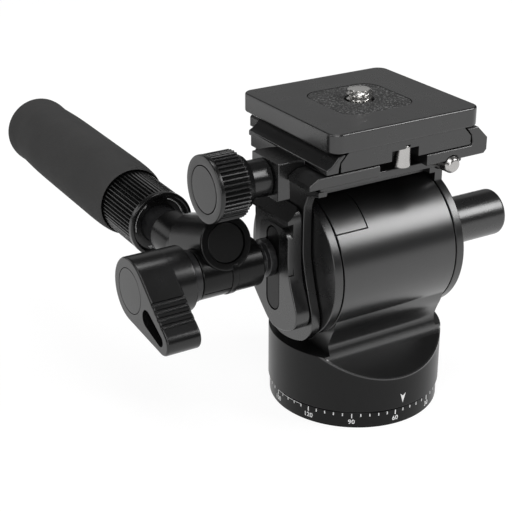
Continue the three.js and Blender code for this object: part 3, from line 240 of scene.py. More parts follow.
def oblong(low_u, high_u, low_v, high_v, corner, steps=8):
    """A rectangle with rounded corners, as an outline."""
    points = []
    centres = [(high_u - corner, low_v + corner, -1), (high_u - corner, high_v - corner, 0),
               (low_u + corner, high_v - corner, 1), (low_u + corner, low_v + corner, 2)]
    for u, v, turn in centres:
        for step in range(steps + 1):
            angle = (turn + step / steps) * QUARTER
            points.append((u + corner * math.cos(angle), v + corner * math.sin(angle)))
    return points


def belt(near, near_radius, far, far_radius, steps=16):
    """The outline of a belt round two discs."""
    line = Vector(far) - Vector(near)
    along = math.atan2(line.y, line.x)
    spread = math.acos((near_radius - far_radius) / line.length)
    points = []
    for centre, radius, start, end in ((near, near_radius, along + spread, along - spread + FULL),
                                       (far, far_radius, along - spread, along + spread)):
        for step in range(steps + 1):
            angle = start + (end - start) * step / steps
            points.append((centre[0] + radius * math.cos(angle), centre[1] + radius * math.sin(angle)))
    return points


# %% [markdown]
# ## Joining and cutting
# A cast body is one skin over several plain forms, and a bore is a form taken away. Blender's exact boolean
# does both. What is left of the sharp edges is then bevelled, and the normals are weighted by the size of
# the faces, so that a flat face shades flat right up to its rounded edge.

# %% Join, cut and soften
SHARP = math.radians(28)


def evaluated(thing):
    """A new mesh of an object as its modifiers leave it."""
    return bpy.data.meshes.new_from_object(thing.evaluated_get(bpy.context.evaluated_depsgraph_get()))


def boolean(mesh, others, operation):
    """The mesh joined with the others, without them, or only where they are."""
    body = bpy.data.objects.new("body", mesh)
    scene.collection.objects.link(body)
    tools = []
    for other in others:
        tool = bpy.data.objects.new("tool", other)
        scene.collection.objects.link(tool)
        step = body.modifiers.new("step", "BOOLEAN")
        step.operation = operation
        step.solver = "EXACT"
        step.object = tool
        tools.append(tool)
    made = evaluated(body)
    for tool in [*tools, body]:
        bpy.data.objects.remove(tool)
    return made


def join(mesh, *others):
    return boolean(mesh, others, "UNION")


def cut(mesh, *others):
    return boolean(mesh, others, "DIFFERENCE")


def shared(mesh, other):
    return boolean(mesh, [other], "INTERSECT")


def shifted(mesh, x=0.0, y=0.0, z=0.0, turn=None):
    """The mesh moved, after an optional turn."""
    mesh.transform(Matrix.Translation((x, y, z)) @ (turn or Matrix.Identity(4)))
    return mesh


def soften(piece, width, segments=3, limit=SHARP):
    """Bevels the sharp edges of a piece, by width in millimetres, and weights its normals."""
    for face in piece.data.polygons:
        face.use_smooth = True
    piece.data.set_sharp_from_angle(angle=limit)
    if width > 0:
        bevel = piece.modifiers.new("edges", "BEVEL")
        bevel.width = width * MM
        bevel.segments = segments
        bevel.limit_method = "ANGLE"
        bevel.angle_limit = limit
        bevel.use_clamp_overlap = True
    weighted = piece.modifiers.new("normals", "WEIGHTED_NORMAL")
    weighted.weight = 80
    weighted.keep_sharp = True
    return piece


# %% Put a piece in its place
slots = {part["node"]: part["material_slot"] for part in frame["record"]["subparts"]}


def fitted(name, mesh, place, body, finish, replaces=(), width=0.0):
    """An object from a mesh drawn in millimetres in one corner of the head. Only paint replaces no solid."""
    mesh.transform(Matrix.Scale(MM, 4) @ place)
    mesh.name = name
    mesh.materials.clear()
    mesh.materials.append(finish)
    piece = bpy.data.objects.new(name, mesh)
    scene.collection.objects.link(piece)
    soften(piece, width)
    if replaces:
        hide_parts(*replaces)
    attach(piece, body)
    print(name, "has", len(mesh.polygons), "faces")
    return piece


# %% [markdown]
# ## Writing a finish
# A finish is a small sum: grain here, a little less gloss there. Drawn as nodes such a sum is hard to read,
# so this class lets a node's output take part in ordinary arithmetic, and each sign adds its own Math node.

# %% Sockets that can be calculated with
class Value:
    """One output of a node that can be added, taken away and multiplied."""

    def __init__(self, recipe, socket):
        self.recipe = recipe
        self.socket = socket

    def maths(self, operation, *values):
        return self.recipe.add("ShaderNodeMath", {"operation": operation}, dict(enumerate(values)))

    def __add__(self, other):
        return self.maths("ADD", self, other)

    __radd__ = __add__

    def __sub__(self, other):
        return self.maths("SUBTRACT", self, other)

    def __rsub__(self, other):
        return self.maths("SUBTRACT", other, self)

    def __mul__(self, other):
        return self.maths("MULTIPLY", self, other)

    __rmul__ = __mul__

    def size(self):
        return self.maths("ABSOLUTE", self)

    def between(self, low, high):
        """0 below low, 1 above high, and smooth in between."""
        return self.recipe.add("ShaderNodeMapRange", {"interpolation_type": "SMOOTHSTEP"},
                               {"Value": self, "From Min": low, "From Max": high})


class Recipe:
    """The node tree of one finish or backdrop."""

    def __init__(self, tree):
        self.tree = tree
        tree.nodes.clear()

    def add(self, kind, settings=None, values=None, output=0):
        """A node of a kind, its settings first, then the values or links of its sockets."""
        node = self.tree.nodes.new(kind)
        for name, setting in (settings or {}).items():
            if name == "stops":
                while len(node.color_ramp.elements) < len(setting):
                    node.color_ramp.elements.new(0.5)
                for stop, (place, color) in zip(node.color_ramp.elements, setting):
                    stop.position = place
                    stop.color = (*color, 1)
            else:
                setattr(node, name, setting)
        for name, value in (values or {}).items():
            if isinstance(value, Value):
                self.tree.links.new(value.socket, node.inputs[name])
            else:
                node.inputs[name].default_value = value
        return Value(self, node.outputs[output]) if node.outputs else None

    def blend(self, factor, low, high):
        """A colour between two colours."""
        return self.add("ShaderNodeMix", {"data_type": "RGBA"}, {0: factor, 6: low, 7: high}, output=2)

    def where(self):
        """The place on the piece, in metres."""
        return self.add("ShaderNodeTexCoord", output=3)

    def noise(self, size, detail=2.0, stretch=None):
        """Noise with features of a size in millimetres."""
        place = self.where()
        if stretch:
            place = self.add("ShaderNodeVectorMath", {"operation": "MULTIPLY"}, {0: place, 1: stretch})
        return self.add("ShaderNodeTexNoise", None,
                        {"Vector": place, "Scale": 1 / (size * MM), "Detail": detail})

    def bump(self, height, depth, strength=1.0):
        """A bumpy normal from a height between 0 and 1, depth in millimetres."""
        values = {"Height": height, "Distance": depth * MM, "Strength": strength}
        return self.add("ShaderNodeBump", None, values)


def grey(level, tint=(1.0, 1.0, 1.0)):
    return (level * tint[0], level * tint[1], level * tint[2], 1.0)


def dressed(name, write, **constants):
    """A material. write(recipe) gives the sockets that change over the surface, constants set the others."""
    material = bpy.data.materials.new(name)
    material.use_nodes = True
    recipe = Recipe(material.node_tree)
    values = {**{socket.replace("_", " "): value for socket, value in constants.items()}, **write(recipe)}
    shader = recipe.add("ShaderNodeBsdfPrincipled", None, values)
    recipe.add("ShaderNodeOutputMaterial", None, {"Surface": shader})
    print("finish", name, "has", len(material.node_tree.nodes), "nodes")
    return material


# %% [markdown]
# ## Black anodised aluminium
# The head is machined from aluminium, blasted with fine beads and dyed black. Up close the blasting is a
# grain of tiny pits, which spreads every reflection, and handling leaves some places a little glossier than
# others. Three noises do this: pits in the bump, a slow drift in the roughness, and a faint mottle in the
# dye. The barrel gets a clear coat above a certain height, and the drum below it is left with a dim
# reflection: that is painted shade, in place of the head's shadow on the table that the drum's side mirrors.
# The rim where the drum's side meets its slope is rubbed just as bright as the barrel. A point belongs to the
# rim when it lies close to the plane of the slope and on the outermost part of the drum.

# %% Anodised finishes
SLOPE_OUT, SLOPE_FOOT = 22.9, 13.01
SLOPE = math.tan(math.radians(30))
RIM_HEIGHT = SLOPE_FOOT + SLOPE_OUT * SLOPE
RIM_NEAR, RIM_OFF = 0.25, 0.4  # off the slope's plane: wholly rim, and no longer rim
RIM_IN, RIM_OUT = 22.0, 22.1  # from the drum's axis: not yet rim, and wholly rim
PIT_DEPTH = 0.006


def blasted(level, gloss, pits, coated_above=None):
    """Blasted and dyed metal, on request with a clear coat above a height and along the drum's rim."""
    def write(recipe):
        grain = recipe.noise(0.35, 3.0)
        drift = recipe.noise(9.0, 2.0)
        mottle = recipe.noise(2.5, 4.0)
        values = {
            "Base Color": recipe.blend(mottle * 0.7 + grain * 0.3, grey(level * 0.75),
                                       grey(level * 1.3, (1.0, 1.0, 1.04))),
            "Roughness": gloss + drift * 0.08 - 0.04 + grain * 0.02,
            "Normal": recipe.bump(grain, PIT_DEPTH, pits),
        }
        if coated_above:
            place = recipe.where()
            depth, up = (recipe.add("ShaderNodeSeparateXYZ", None, {0: place}, output=i) for i in (1, 2))
            flat = recipe.add("ShaderNodeVectorMath", {"operation": "MULTIPLY"}, {0: place, 1: (1, 1, 0)})
            across = recipe.add("ShaderNodeVectorMath", {"operation": "LENGTH"}, {0: flat}, output=1)
            off_rim = up + depth.size() * SLOPE - RIM_HEIGHT * MM
            close = 1 - off_rim.size().between(RIM_NEAR * MM, RIM_OFF * MM)
            rim = close * across.between(RIM_IN * MM, RIM_OUT * MM)
            # Painted shade: below this height the drum has no coat, and its dim reflection stands in for the
            # table's shadow.
            barrel_coat_above_drum_shade = up.between(coated_above * MM, (coated_above + 2) * MM)
            values["Coat Weight"] = barrel_coat_above_drum_shade.maths("MAXIMUM", barrel_coat_above_drum_shade, rim)
        return values
    return write


anodised = dressed("black anodised", blasted(level=0.006, gloss=0.27, pits=0.2), IOR=1.72)
lever_black = dressed("lever anodised", blasted(level=0.005, gloss=0.24, pits=0.1), IOR=1.5)
# The drum under the coat keeps IOR 1.3, a dim reflection that is painted shade for the shadow on the table.
barrel_black = dressed("barrel anodised", blasted(level=0.006, gloss=0.3, pits=0.4, coated_above=19.0),
                       IOR=1.3, Coat_IOR=1.64, Coat_Roughness=0.27)
knob_black = dressed("knob anodised", blasted(level=0.005, gloss=0.24, pits=0.1), IOR=1.5)
dull_black = dressed("dull anodised", blasted(level=0.003, gloss=0.24, pits=0.1), IOR=1.32)
# Painted shade: a lower level and IOR than the rest darken the ring, for the table's shadow that its side
# mirrors.
shaded_ring_black = dressed("ring anodised", blasted(level=0.004, gloss=0.3, pits=0.15), IOR=1.28)

# %% [markdown]
# ## Bright and blackened steel
# The screws and pins are turned stainless steel. The tool leaves faint rings round them, so the bump comes
# from a noise that is stretched across the axis. The handle's tube is steel too, but blackened.

# %% Steel finishes
def tooled(color, gloss, metallic):
    def write(recipe):
        lines = recipe.noise(0.25, 2.0, (0.15, 0.15, 4.0))
        stain = recipe.noise(3.0, 3.0)
        return {
            "Base Color": recipe.blend(stain, color, tuple(0.85 * c for c in color[:3]) + (1.0,)),
            "Roughness": gloss + stain * 0.08 + lines * 0.05,
            "Normal": recipe.bump(lines, 0.001, 0.3),
            "Metallic": metallic,
        }
    return write


bright_steel = dressed("bright steel", tooled((0.5, 0.49, 0.48, 1.0), 0.2, 1.0))
screw_steel = dressed("screw steel", tooled((0.8, 0.79, 0.77, 1.0), 0.18, 1.0))
black_steel = dressed("blackened steel", tooled((0.022, 0.022, 0.023, 1.0), 0.22, 0.3))
brass = dressed("brass", tooled((0.62, 0.42, 0.17, 1.0), 0.24, 1.0))

# %% [markdown]
# ## Rubber, foam and moulded plastic
# The pad on the plate is cork-like rubber with pale specks. The grip is closed cell foam, whose skin shows
# fine pores and hardly shines. The small plastic trims are plain moulded black.

# %% Soft and moulded finishes
def speckled(recipe):
    specks = recipe.noise(0.4, 2.0).between(0.52, 0.66)
    pores = recipe.noise(0.35, 4.0)
    return {
        "Base Color": recipe.blend(specks, grey(0.022), grey(0.15)),
        "Roughness": 0.85 - specks * 0.15,
        "Normal": recipe.bump(pores + specks * 0.3, 0.03, 0.8),
    }


def foamed(recipe):
    cells = recipe.add("ShaderNodeTexVoronoi", None, {"Vector": recipe.where(), "Scale": 1 / (0.35 * MM)})
    skin = recipe.noise(1.6, 4.0)
    smudge = recipe.noise(14.0, 2.0)
    return {
        "Base Color": recipe.blend(smudge * 0.6 + skin * 0.4, grey(0.035), grey(0.06, (1.0, 0.99, 0.98))),
        "Roughness": 0.86 + skin * 0.12,
        "Normal": recipe.bump(cells * 0.6 + skin, 0.05, 0.7),
    }


def moulded(level, gloss):
    def write(recipe):
        texture = recipe.noise(0.3, 3.0)
        return {
            "Base Color": recipe.blend(texture, grey(level * 0.8), grey(level * 1.2)),
            "Roughness": gloss + texture * 0.1,
            "Normal": recipe.bump(texture, 0.01, 0.6),
        }
    return write


pad_rubber = dressed("speckled rubber", speckled)
grip_foam = dressed("grip foam", foamed, Specular_IOR_Level=0.25)
moulded_black = dressed("moulded black", moulded(0.004, 0.3), Specular_IOR_Level=0.22)
acetal = dressed("acetal", moulded(0.62, 0.4))
paint_white = dressed("scale paint", moulded(0.8, 0.5))
mark_grey = dressed("faint marks", moulded(0.5, 0.5))

# %% [markdown]
# ## Finishes for the solids that stay
# The record names a slot for every solid. Each slot gets its finish here, hidden pieces too, so that
# nothing inside is bare when the head is opened up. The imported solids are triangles: coplanar ones are
# merged first, and then the sharp edges are bevelled.

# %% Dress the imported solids
FINISHES = {
    "anodised": anodised, "dark_anodised": dull_black, "matte_black": moulded_black, "steel": bright_steel,
    "black_steel": black_steel, "brass": brass, "acetal": acetal, "rubber": pad_rubber, "foam": grip_foam,
}
EDGE_WIDTHS = {"moving_jaw": 0.25}
EDGE_WIDTH = 0.12
for name, slot in slots.items():
    node = frame["nodes"][name]
    node.data.materials.clear()
    node.data.materials.append(FINISHES[slot])
    weld = node.modifiers.new("weld", "WELD")
    weld.merge_threshold = 1e-6
    plain = node.modifiers.new("plain", "DECIMATE")
    plain.decimate_type = "DISSOLVE"
    plain.angle_limit = math.radians(0.6)
    soften(node, EDGE_WIDTHS.get(name, EDGE_WIDTH))
print(len(slots), "solids dressed")

# %% [markdown]
# ## Smooth outlines
# Some outlines are drawn by a few points that a draughtsman would join with a flexible curve. The same is
# done here: a curve runs through every point, and is cut into short straight steps.

# %% A curve through points
def curved(points, steps=6):
    """An open smooth curve through the points, as short steps."""
    made = []
    for i in range(len(points) - 1):
        before, start = Vector(points[max(i - 1, 0)]), Vector(points[i])
        end, after = Vector(points[i + 1]), Vector(points[min(i + 2, len(points) - 1)])
        for step in range(steps):
            t = step / steps
            made.append(tuple(0.5 * (2 * start + (end - before) * t
                                     + (2 * before - 5 * start + 4 * end - after) * t ** 2
                                     + (3 * start - before - 3 * end + after) * t ** 3)))
    return [*made, tuple(points[-1])]


def mirrored(points):
    """The points with their mirror images, back to the first side, as one closed outline."""
    return [*points, *[(-y, z) for y, z in reversed(points)]]


# %% Flutes round a knob
FLUTE_STEPS = 12  # steps of the turning in each flute
FLUTE_POWER = 1.5  # above 1 the ribs between the flutes get wider than the flutes


def flutes(count, depth, low, high):
    """Narrow grooves round a grip, between two places along its axis."""
    def shape(angle, radius, place):
        if not low <= place <= high:
            return radius
        return radius - depth * (0.5 + 0.5 * math.cos(angle * count)) ** FLUTE_POWER
    return shape


# %% [markdown]
# ## The base and its scale
# The base is a turned ring that stays on the tripod. It is a little darker and shines less than the rest,
# which is painted shade: it stands in for the shadow on the table that the ring's side mirrors. The scale on
# its side has a mark every six degrees, a longer one every thirty, with numbers under the long ones. Paint
# has almost no thickness, so the marks and digits are wrapped round the ring a few hundredths of a
# millimetre proud of it, and then get a thin body inwards.

# %% Base ring
BASE_RADIUS = 22.0
base_profile = [(6.7, 0), (BASE_RADIUS, 0), (BASE_RADIUS, 4.4), (11, 4.4), (11, 13.6), (2.8, 13.6),
                (2.8, 8.7), (6.7, 8.7)]
fitted("base_ring_turned", lathed(base_profile, 0.3, "z", 200), base_place, "base", shaded_ring_black,
       ["base_ring"])

# %% Painted work
PAINT = 0.03
PAINT_BODY = 0.06
SCALE_START = math.radians(-35.7)


def wrapped(build, u, v, radius=BASE_RADIUS, start=SCALE_START):
    """A corner of painted work, u round a ring from the start and v up."""
    angle = start + u / radius
    return build.verts.new(((radius + PAINT) * math.cos(angle), (radius + PAINT) * math.sin(angle), v))


def painted_bar(build, u_low, u_high, v_low, v_high):
    corners = ((u_low, v_low), (u_high, v_low), (u_high, v_high), (u_low, v_high))
    build.faces.new([wrapped(build, u, v) for u, v in corners])


def digits(text, size, bold=0.035):
    """The outlines of a text as a flat mesh, centred, in millimetres."""
    curve = bpy.data.curves.new("digits", "FONT")
    curve.body = text
    curve.size = size
    curve.align_x = "CENTER"
    curve.offset = bold
    curve.resolution_u = 3
    holder = bpy.data.objects.new("digits", curve)
    scene.collection.objects.link(holder)
    mesh = evaluated(holder)
    bpy.data.objects.remove(holder)
    return mesh


def painted(build, outwards):
    """Painted work as a thin closed solid. outwards(middle) says which way a face has to look."""
    for face in build.faces:
        face.normal_update()
        if face.normal.dot(outwards(face.calc_center_median())) < 0:
            face.normal_flip()
    mesh = bpy.data.meshes.new("paint")
    build.to_mesh(mesh)
    build.free()
    body = bmesh.new()
    body.from_mesh(mesh)
    bmesh.ops.solidify(body, geom=body.faces, thickness=PAINT_BODY)
    body.to_mesh(mesh)
    body.free()
    return mesh


def from_axis(middle):
    return Vector((middle.x, middle.y, 0))


# %% Scale marks and numbers
SCALE_TOP = 4.05
MARK_EVERY, NUMBER_EVERY = 6, 30
MARK_WIDTH, MARK, LONG_MARK = 0.28, 0.8, 1.25
DIGIT_SIZE, DIGIT_FOOT = 1.75, 1.2
LINE_FROM, LINE_TO, LINE_STEP, LINE_WIDTH = 126, 150, 3, 0.12


def around(reading):
    """How far a reading lies round the ring from the scale's zero."""
    return -math.radians(reading) * BASE_RADIUS


scale = bmesh.new()
for reading in range(0, 360, MARK_EVERY):
    u = around(reading)
    length = MARK if reading % NUMBER_EVERY else LONG_MARK
    painted_bar(scale, u - MARK_WIDTH / 2, u + MARK_WIDTH / 2, SCALE_TOP - length, SCALE_TOP)
for reading in range(0, 360, NUMBER_EVERY):
    numbers = bmesh.new()
    numbers.from_mesh(digits(str(min(reading, 360 - reading)), DIGIT_SIZE))
    placed = [wrapped(scale, v.co.x + around(reading), v.co.y + DIGIT_FOOT) for v in numbers.verts]
    for face in numbers.faces:
        scale.faces.new([placed[v.index] for v in face.verts])
    numbers.free()
for reading in range(LINE_FROM, LINE_TO, LINE_STEP):
    painted_bar(scale, around(reading), around(reading + LINE_STEP), SCALE_TOP - LINE_WIDTH, SCALE_TOP)
fitted("base_scale", painted(scale, from_axis), base_place, "base", paint_white)

# %% [markdown]
# ## The panning body
# Drum, waist and barrel are one casting. The side view is drawn once, as a smooth curve from the barrel in
# to the waist and out to the drum's slope, and pulled across the head. It is kept where it lies inside the
# round drum below and between the cheeks above, and the turned barrel is joined to it.

# %% Casting
DRUM, DRUM_FOOT, DRUM_TOP = 22.4, 4.7, 19.3
waist = [(-15.9, 33.5), (-15.5, 30.5), (-14.5, 27.3), (-13.2, 24.6), (-12.25, 22.1), (-12.35, 20.8),
         (-12.87, 19.6), (-13.66, 18.56), (-14.75, 17.73)]
side_view = mirrored([*curved(waist), (-SLOPE_OUT, SLOPE_FOOT), (-SLOPE_OUT, DRUM_FOOT)])
drum_keep = join(rod("z", DRUM, DRUM_FOOT, DRUM_TOP, 0.2, 200), block((-16.5, 16.5), (-24, 24), (18.5, 40)))
casting = shared(drum_keep, milled(side_view, "x", -24, 24, 0))
BARREL, BARREL_HALF = 18.9, 16.8
barrel = shifted(rod("x", BARREL, -BARREL_HALF, BARREL_HALF, 0.15, 200), z=TILT_HEIGHT)
COVER_LOW, COVER_HIGH = math.radians(38), math.radians(92)
FAR = 60


def cover_piece(inner, outer, inset):
    """A slice of a tube round the barrel, where the flush cover lies, its sides moved in by the inset."""
    low, high = COVER_LOW + inset / BARREL, COVER_HIGH - inset / BARREL
    middle = (low + high) / 2
    corners = [(-FAR * math.cos(angle), FAR * math.sin(angle)) for angle in (low, middle, high)]
    wedge = milled([(0, 0), *corners], "x", -18 + inset, -7.5 - inset, 0)
    return shared(tube("x", inner, outer, -BARREL_HALF, BARREL_HALF, 0, 200), wedge)


cover_hole = shifted(cover_piece(17.1, 21, 0), z=TILT_HEIGHT)
pan_bore = turned([(0, 3), (18.3, 3), (18.3, 5.8), (12.9, 5.8), (12.9, 18.1), (0, 18.1)], "z", 96)
lock_bore = shifted(rod("y", 2.3, 11, 24, 0, 32), z=LOCK_HEIGHT)
barrel_bore = shifted(rod("x", 13.5, -18, 18), z=TILT_HEIGHT)
casting = cut(join(casting, barrel), pan_bore, lock_bore, barrel_bore, cover_hole)
fitted("panning_body", casting, base_place, "pan", barrel_black, ["pan_body"], 0.22)

# %% Flush cover
fitted("barrel_cover_panel", cover_piece(17.4, BARREL, 0.25), tilt_place, "pan", barrel_black,
       ["barrel_cover"], 0.15)

# %% Pointer over the scale
POINTER_TURN = math.radians(-91)
pointer = bmesh.new()
for side in (-1, 1):
    corners = ((0, 5.9), (0.8 * side, 8.6), (0, 7.9))
    pointer.faces.new([wrapped(pointer, u, v, DRUM, POINTER_TURN) for u, v in corners])
fitted("pan_pointer", painted(pointer, from_axis), base_place, "pan", paint_white)

# %% [markdown]
# ## The cradle
# Two round cheeks close the ends of the barrel, and a thin platform joins them over the top. They are one
# milled piece. The right cheek spreads a little under the platform, and a narrow saddle carries the middle.

# %% Cradle
tilting = (tilt_place, "tilt", anodised)


def flare(half, reach, low, high, steps=8):
    """The side view of a cheek's upper part, which spreads in a curve under the platform."""
    angles = [i / steps * QUARTER for i in range(steps + 1)]
    curve = [(half + (reach - half) * (1 - math.cos(angle)), low + (high - low) * math.sin(angle))
             for angle in angles]
    return mirrored([(-half, 0), *[(-y, z) for y, z in curve]])


CHEEK_IN, CHEEK_OUT = 17.2, 19.5
PLATFORM = 26.0
right_cheek = join(rod("x", BARREL, CHEEK_IN, CHEEK_OUT, 0.25, 200),
                   milled(flare(8.5, 12.5, 19.0, 25.0), "x", CHEEK_IN, CHEEK_OUT, 0))
left_cheek = join(rod("x", BARREL, -CHEEK_OUT, -CHEEK_IN, 0.25, 200),
                  block((-CHEEK_OUT, -CHEEK_IN), (-5.5, 5.5), (0, 25)))
saddle = cut(block((-19.1, 19.1), (-5.5, 5.5), (0, 25)), rod("x", 19.5, -CHEEK_IN, CHEEK_IN, 0, 160),
             block((-CHEEK_IN, CHEEK_IN), (-20, 20), (-2, 10)))
platform = milled(oblong(-22.2, CHEEK_OUT, -16, 14, 1), "z", PLATFORM - 1.9, PLATFORM, 0.25)
catch_house = block((10.5, 16.7), (-14.6, -4.5), (22.1, 25.7))
keel_slot = block((-24, 9.3), (-8.3, 0.9), (21.3, 28))
catch_bore = shifted(rod("y", 2.5, -21.2, -3.9, 0, 48), x=CATCH_SIDE, z=CATCH_HEIGHT)
screw_holes = [shifted(rod("z", 1.8, 22.7, 30, 0, 32), x=x, y=8.5) for x in (-12, 12)]
cradle = cut(join(right_cheek, left_cheek, saddle, platform, catch_house), keel_slot, catch_bore,
             rod("x", 5.3, -21, 21, 0, 64), rod("x", 19.5, -CHEEK_IN, CHEEK_IN, 0, 200), *screw_holes)
fitted("cradle_milled", cradle, *tilting, ["cradle"], 0.2)

# %% [markdown]
# ## The left arm
# The arm is two plates, one on the other. Both lean forward at the lower end into a round toe, and the
# outer one slopes in at its top. A dark strip is let into its outer face, and a shallow recess leaves that
# part of the face raised. The outlines are smooth curves through a few points, pulled along the tilt axis.

# %% Inner plate
toe = [(-8.7, 14), (-8.7, 9.5), (-8.75, 5.6), (-9.8, 0.8), (-11.6, -5), (-13.15, -9.8), (-12.7, -13.4),
       (-10.4, -16.3), (-8, -17.9), (-3.5, -19.2), (1.2, -19.5), (5.1, -18.3), (7.4, -16), (8.5, -12.8),
       (8.7, -8)]
shoulder = [(8.7, 14), (8.9, 18), (10.2, 21.3), (13, 22.4), (13, 23.8), (-15, 23.8), (-15, 22.4),
            (-10.4, 21.3), (-8.9, 18)]
screw_holes = [shifted(rod("x", 2.6, -24, -20.4, 0, 32), y=y, z=14) for y in (-4.35, 4.35)]
inner_plate = cut(milled([*curved(toe, 4), *shoulder], "x", -22.2, -19.8, 0.2),
                  rod("x", 4.3, -24, -18, 0, 48), *screw_holes)
fitted("arm_plate_inner", inner_plate, *tilting, ["arm_inner_plate"], 0.15)

# %% Outer slab and its strip
SLAB_IN, SLAB_OUT = -22.5, -26.5
TOP_OUT, TOP_IN = 14.9, 17.6
STRIP_LOW, STRIP_HIGH = (-2, -7.55), (-2, 8.75)
slab_toe = [(-8.7, 10), (-8.75, 5.5), (-8.9, 3.2), (-9.7, -0.8), (-11.7, -5.4), (-12.75, -8.8),
            (-11.6, -11.9), (-7.9, -14.1), (-3.4, -15), (-0.3, -14.3), (3.0, -11.7), (8.0, -7.0)]
slab_top = softened([(8.7, -6.3), (8.7, TOP_IN), (-8.7, TOP_IN), (-8.7, 10)], 3.4)[1:-1]
slope = [(TOP_OUT, -28), (TOP_OUT, SLAB_OUT), (TOP_IN, SLAB_IN), (20, SLAB_IN), (20, -28)]
raised_face = milled(oblong(-8.9, 4.1, -30, 12.6, 3.4), "x", -29, -24, 0)
recess = cut(block((-28, -25), (-9.6, 9.6), (1, 14.2)), raised_face)


def stub_hole():
    return shifted(rod("x", 2.7, -28, -21, 0, 48), z=STUB_HEIGHT - TILT_HEIGHT)


outer_slab = cut(milled([*curved(slab_toe, 4), *slab_top], "x", SLAB_OUT, SLAB_IN, 0.35),
                 milled(slope, "y", -16, 14, 0),
                 milled(belt(STRIP_LOW, 3.0, STRIP_HIGH, 3.0), "x", -28, -25.4, 0), recess, stub_hole())
fitted("arm_slab_outer", outer_slab, *tilting, ["arm_outer_slab"], 0.3)
strip = cut(milled(belt(STRIP_LOW, 2.7, STRIP_HIGH, 2.7), "x", -26.4, -25.7, 0.15), stub_hole())
fitted("arm_strip_inlaid", strip, tilt_place, "tilt", moulded_black, ["arm_strip"])

# %% [markdown]
# ## The clamp's body
# The clamp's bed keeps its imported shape, but its rail ends behind the block that the screw draws in, where
# the solid runs on. So a copy of the bed is trimmed there.

# %% Clamp bed
packed_bed = frame["nodes"]["clamp_body"]
bed = packed_bed.data.copy()
to_tilt_axis = Matrix.Translation((0, 0, -TILT_HEIGHT)) @ Matrix.Scale(1 / MM, 4)
bed.transform(to_tilt_axis @ packed_bed.matrix_world)
bed = cut(bed, block((-30, -22.3), (1.5, 20), (20, 40)))
fitted("clamp_bed", bed, *tilting, ["clamp_body"], 0.2)

# %% [markdown]
# ## The stubs
# A bare stub sticks out on the right for a second handle, and the handle's stub on the left arm carries the
# knuckle. Both are turned, with a small flange at the root and a rounded end.

# %% Turned stubs
stub_profile = [(0, 11.5, 0), (2.2, 11.5), (2.2, 19.8), (7.85, 19.8), (7.0, 20.5), (6.25, 21.6, 1.0),
                (6.25, 44.4, 1.0), (0, 44.4, 0)]
fitted("right_stub_turned", lathed(stub_profile, 0.2, "x", 128), *tilting, ["right_stub"])
stub_profile = [(0, -56.2, 0), (3.9, -56.2), (3.9, -29.2), (4.8, -28.6), (4.8, -26.8), (2.4, -26.8),
                (2.4, -22.5), (0, -22.5, 0)]
fitted("handle_stub_turned", lathed(stub_profile, 0.3, "x"), stub_place, "tilt", black_steel,
       ["handle_stub"])

# %% [markdown]
# ## The plate that stays on the camera
# The plate is a flat slab over a dovetail. A speckled rubber pad is let into its top, and the camera screw
# comes up through the middle. Only the slab's long edges are rounded, because its side runs straight into
# the dovetail.

# %% Plate and pad
SCREW_BACK = 1
STOPS = {"front": -16.8, "back": 18.8}
slab = milled(oblong(-21.5, 21.5, -19.4, 21.4, 2.9), "z", 33.8, 38.6, 0.5)
dovetail_view = [(29.3, -19), (31.6, -19), (33.8, -17), (34.6, -17), (34.6, 17), (33.8, 17), (31.6, 19),
                 (29.3, 19)]
dovetail = milled(dovetail_view, "y", -19.1, 21.1, 0.15)
pad_hole = milled(oblong(-10.5, 10.5, -9.5, 11.5, 4.6), "z", 37.1, 40, 0)
stop_holes = [shifted(rod("z", 2.4, 28, 32.6, 0, 48), y=y) for y in STOPS.values()]


def screw_hole(radius, low, high):
    return shifted(rod("z", radius, low, high, 0, 64), y=SCREW_BACK)


plate = cut(join(slab, dovetail), pad_hole, block((-3.2, 3.2), (-21, 23), (28, 30.3)),
            block((-4.6, 3.2), (-20, -14.4), (28, 31.8)), screw_hole(6.3, 28, 33), screw_hole(3.8, 28, 40),
            *stop_holes)
fitted("camera_plate", plate, tilt_place, "plate", anodised, ["qr_plate"], 0.15)
pad = cut(milled(oblong(-10.3, 10.3, -9.3, 11.3, 4.4), "z", 37.4, 38.6, 0.12), screw_hole(3.8, 36, 40))
fitted("speckled_pad", pad, tilt_place, "plate", pad_rubber, ["plate_pad"])

# %% Camera screw with its thread
SCREW, PITCH, THREAD = 3.175, 1.27, 0.72
THREAD_FOOT = 32.9
ROOT_SHARE, FLANK_SHARE = 0.88, 0.76


def threaded(angle, radius, place):
    """The radius at a place of the thread, whose crest climbs by one pitch in each turn."""
    if place < THREAD_FOOT or radius < SCREW - 0.4:
        return radius
    share = abs((place / PITCH - angle / FULL) % 1 * 2 - 1)
    return radius - THREAD * min(max((ROOT_SHARE - share) / FLANK_SHARE, 0), 1)


screw_profile = [(0, 30.3), (5.6, 30.3), (6, 30.7), (6, 32.5), (5.8, 32.7),
                 *[(SCREW, 32.7 + i * 0.08) for i in range(1, 104)],
                 (2.9, 41.04), (2.5, 41.14), (1.6, 41.2), (0, 41.2)]
camera_screw = shifted(turned(screw_profile, "z", 96, threaded), y=SCREW_BACK)
fitted("camera_screw_threaded", camera_screw, tilt_place, "camera_screw", screw_steel, ["camera_screw"])

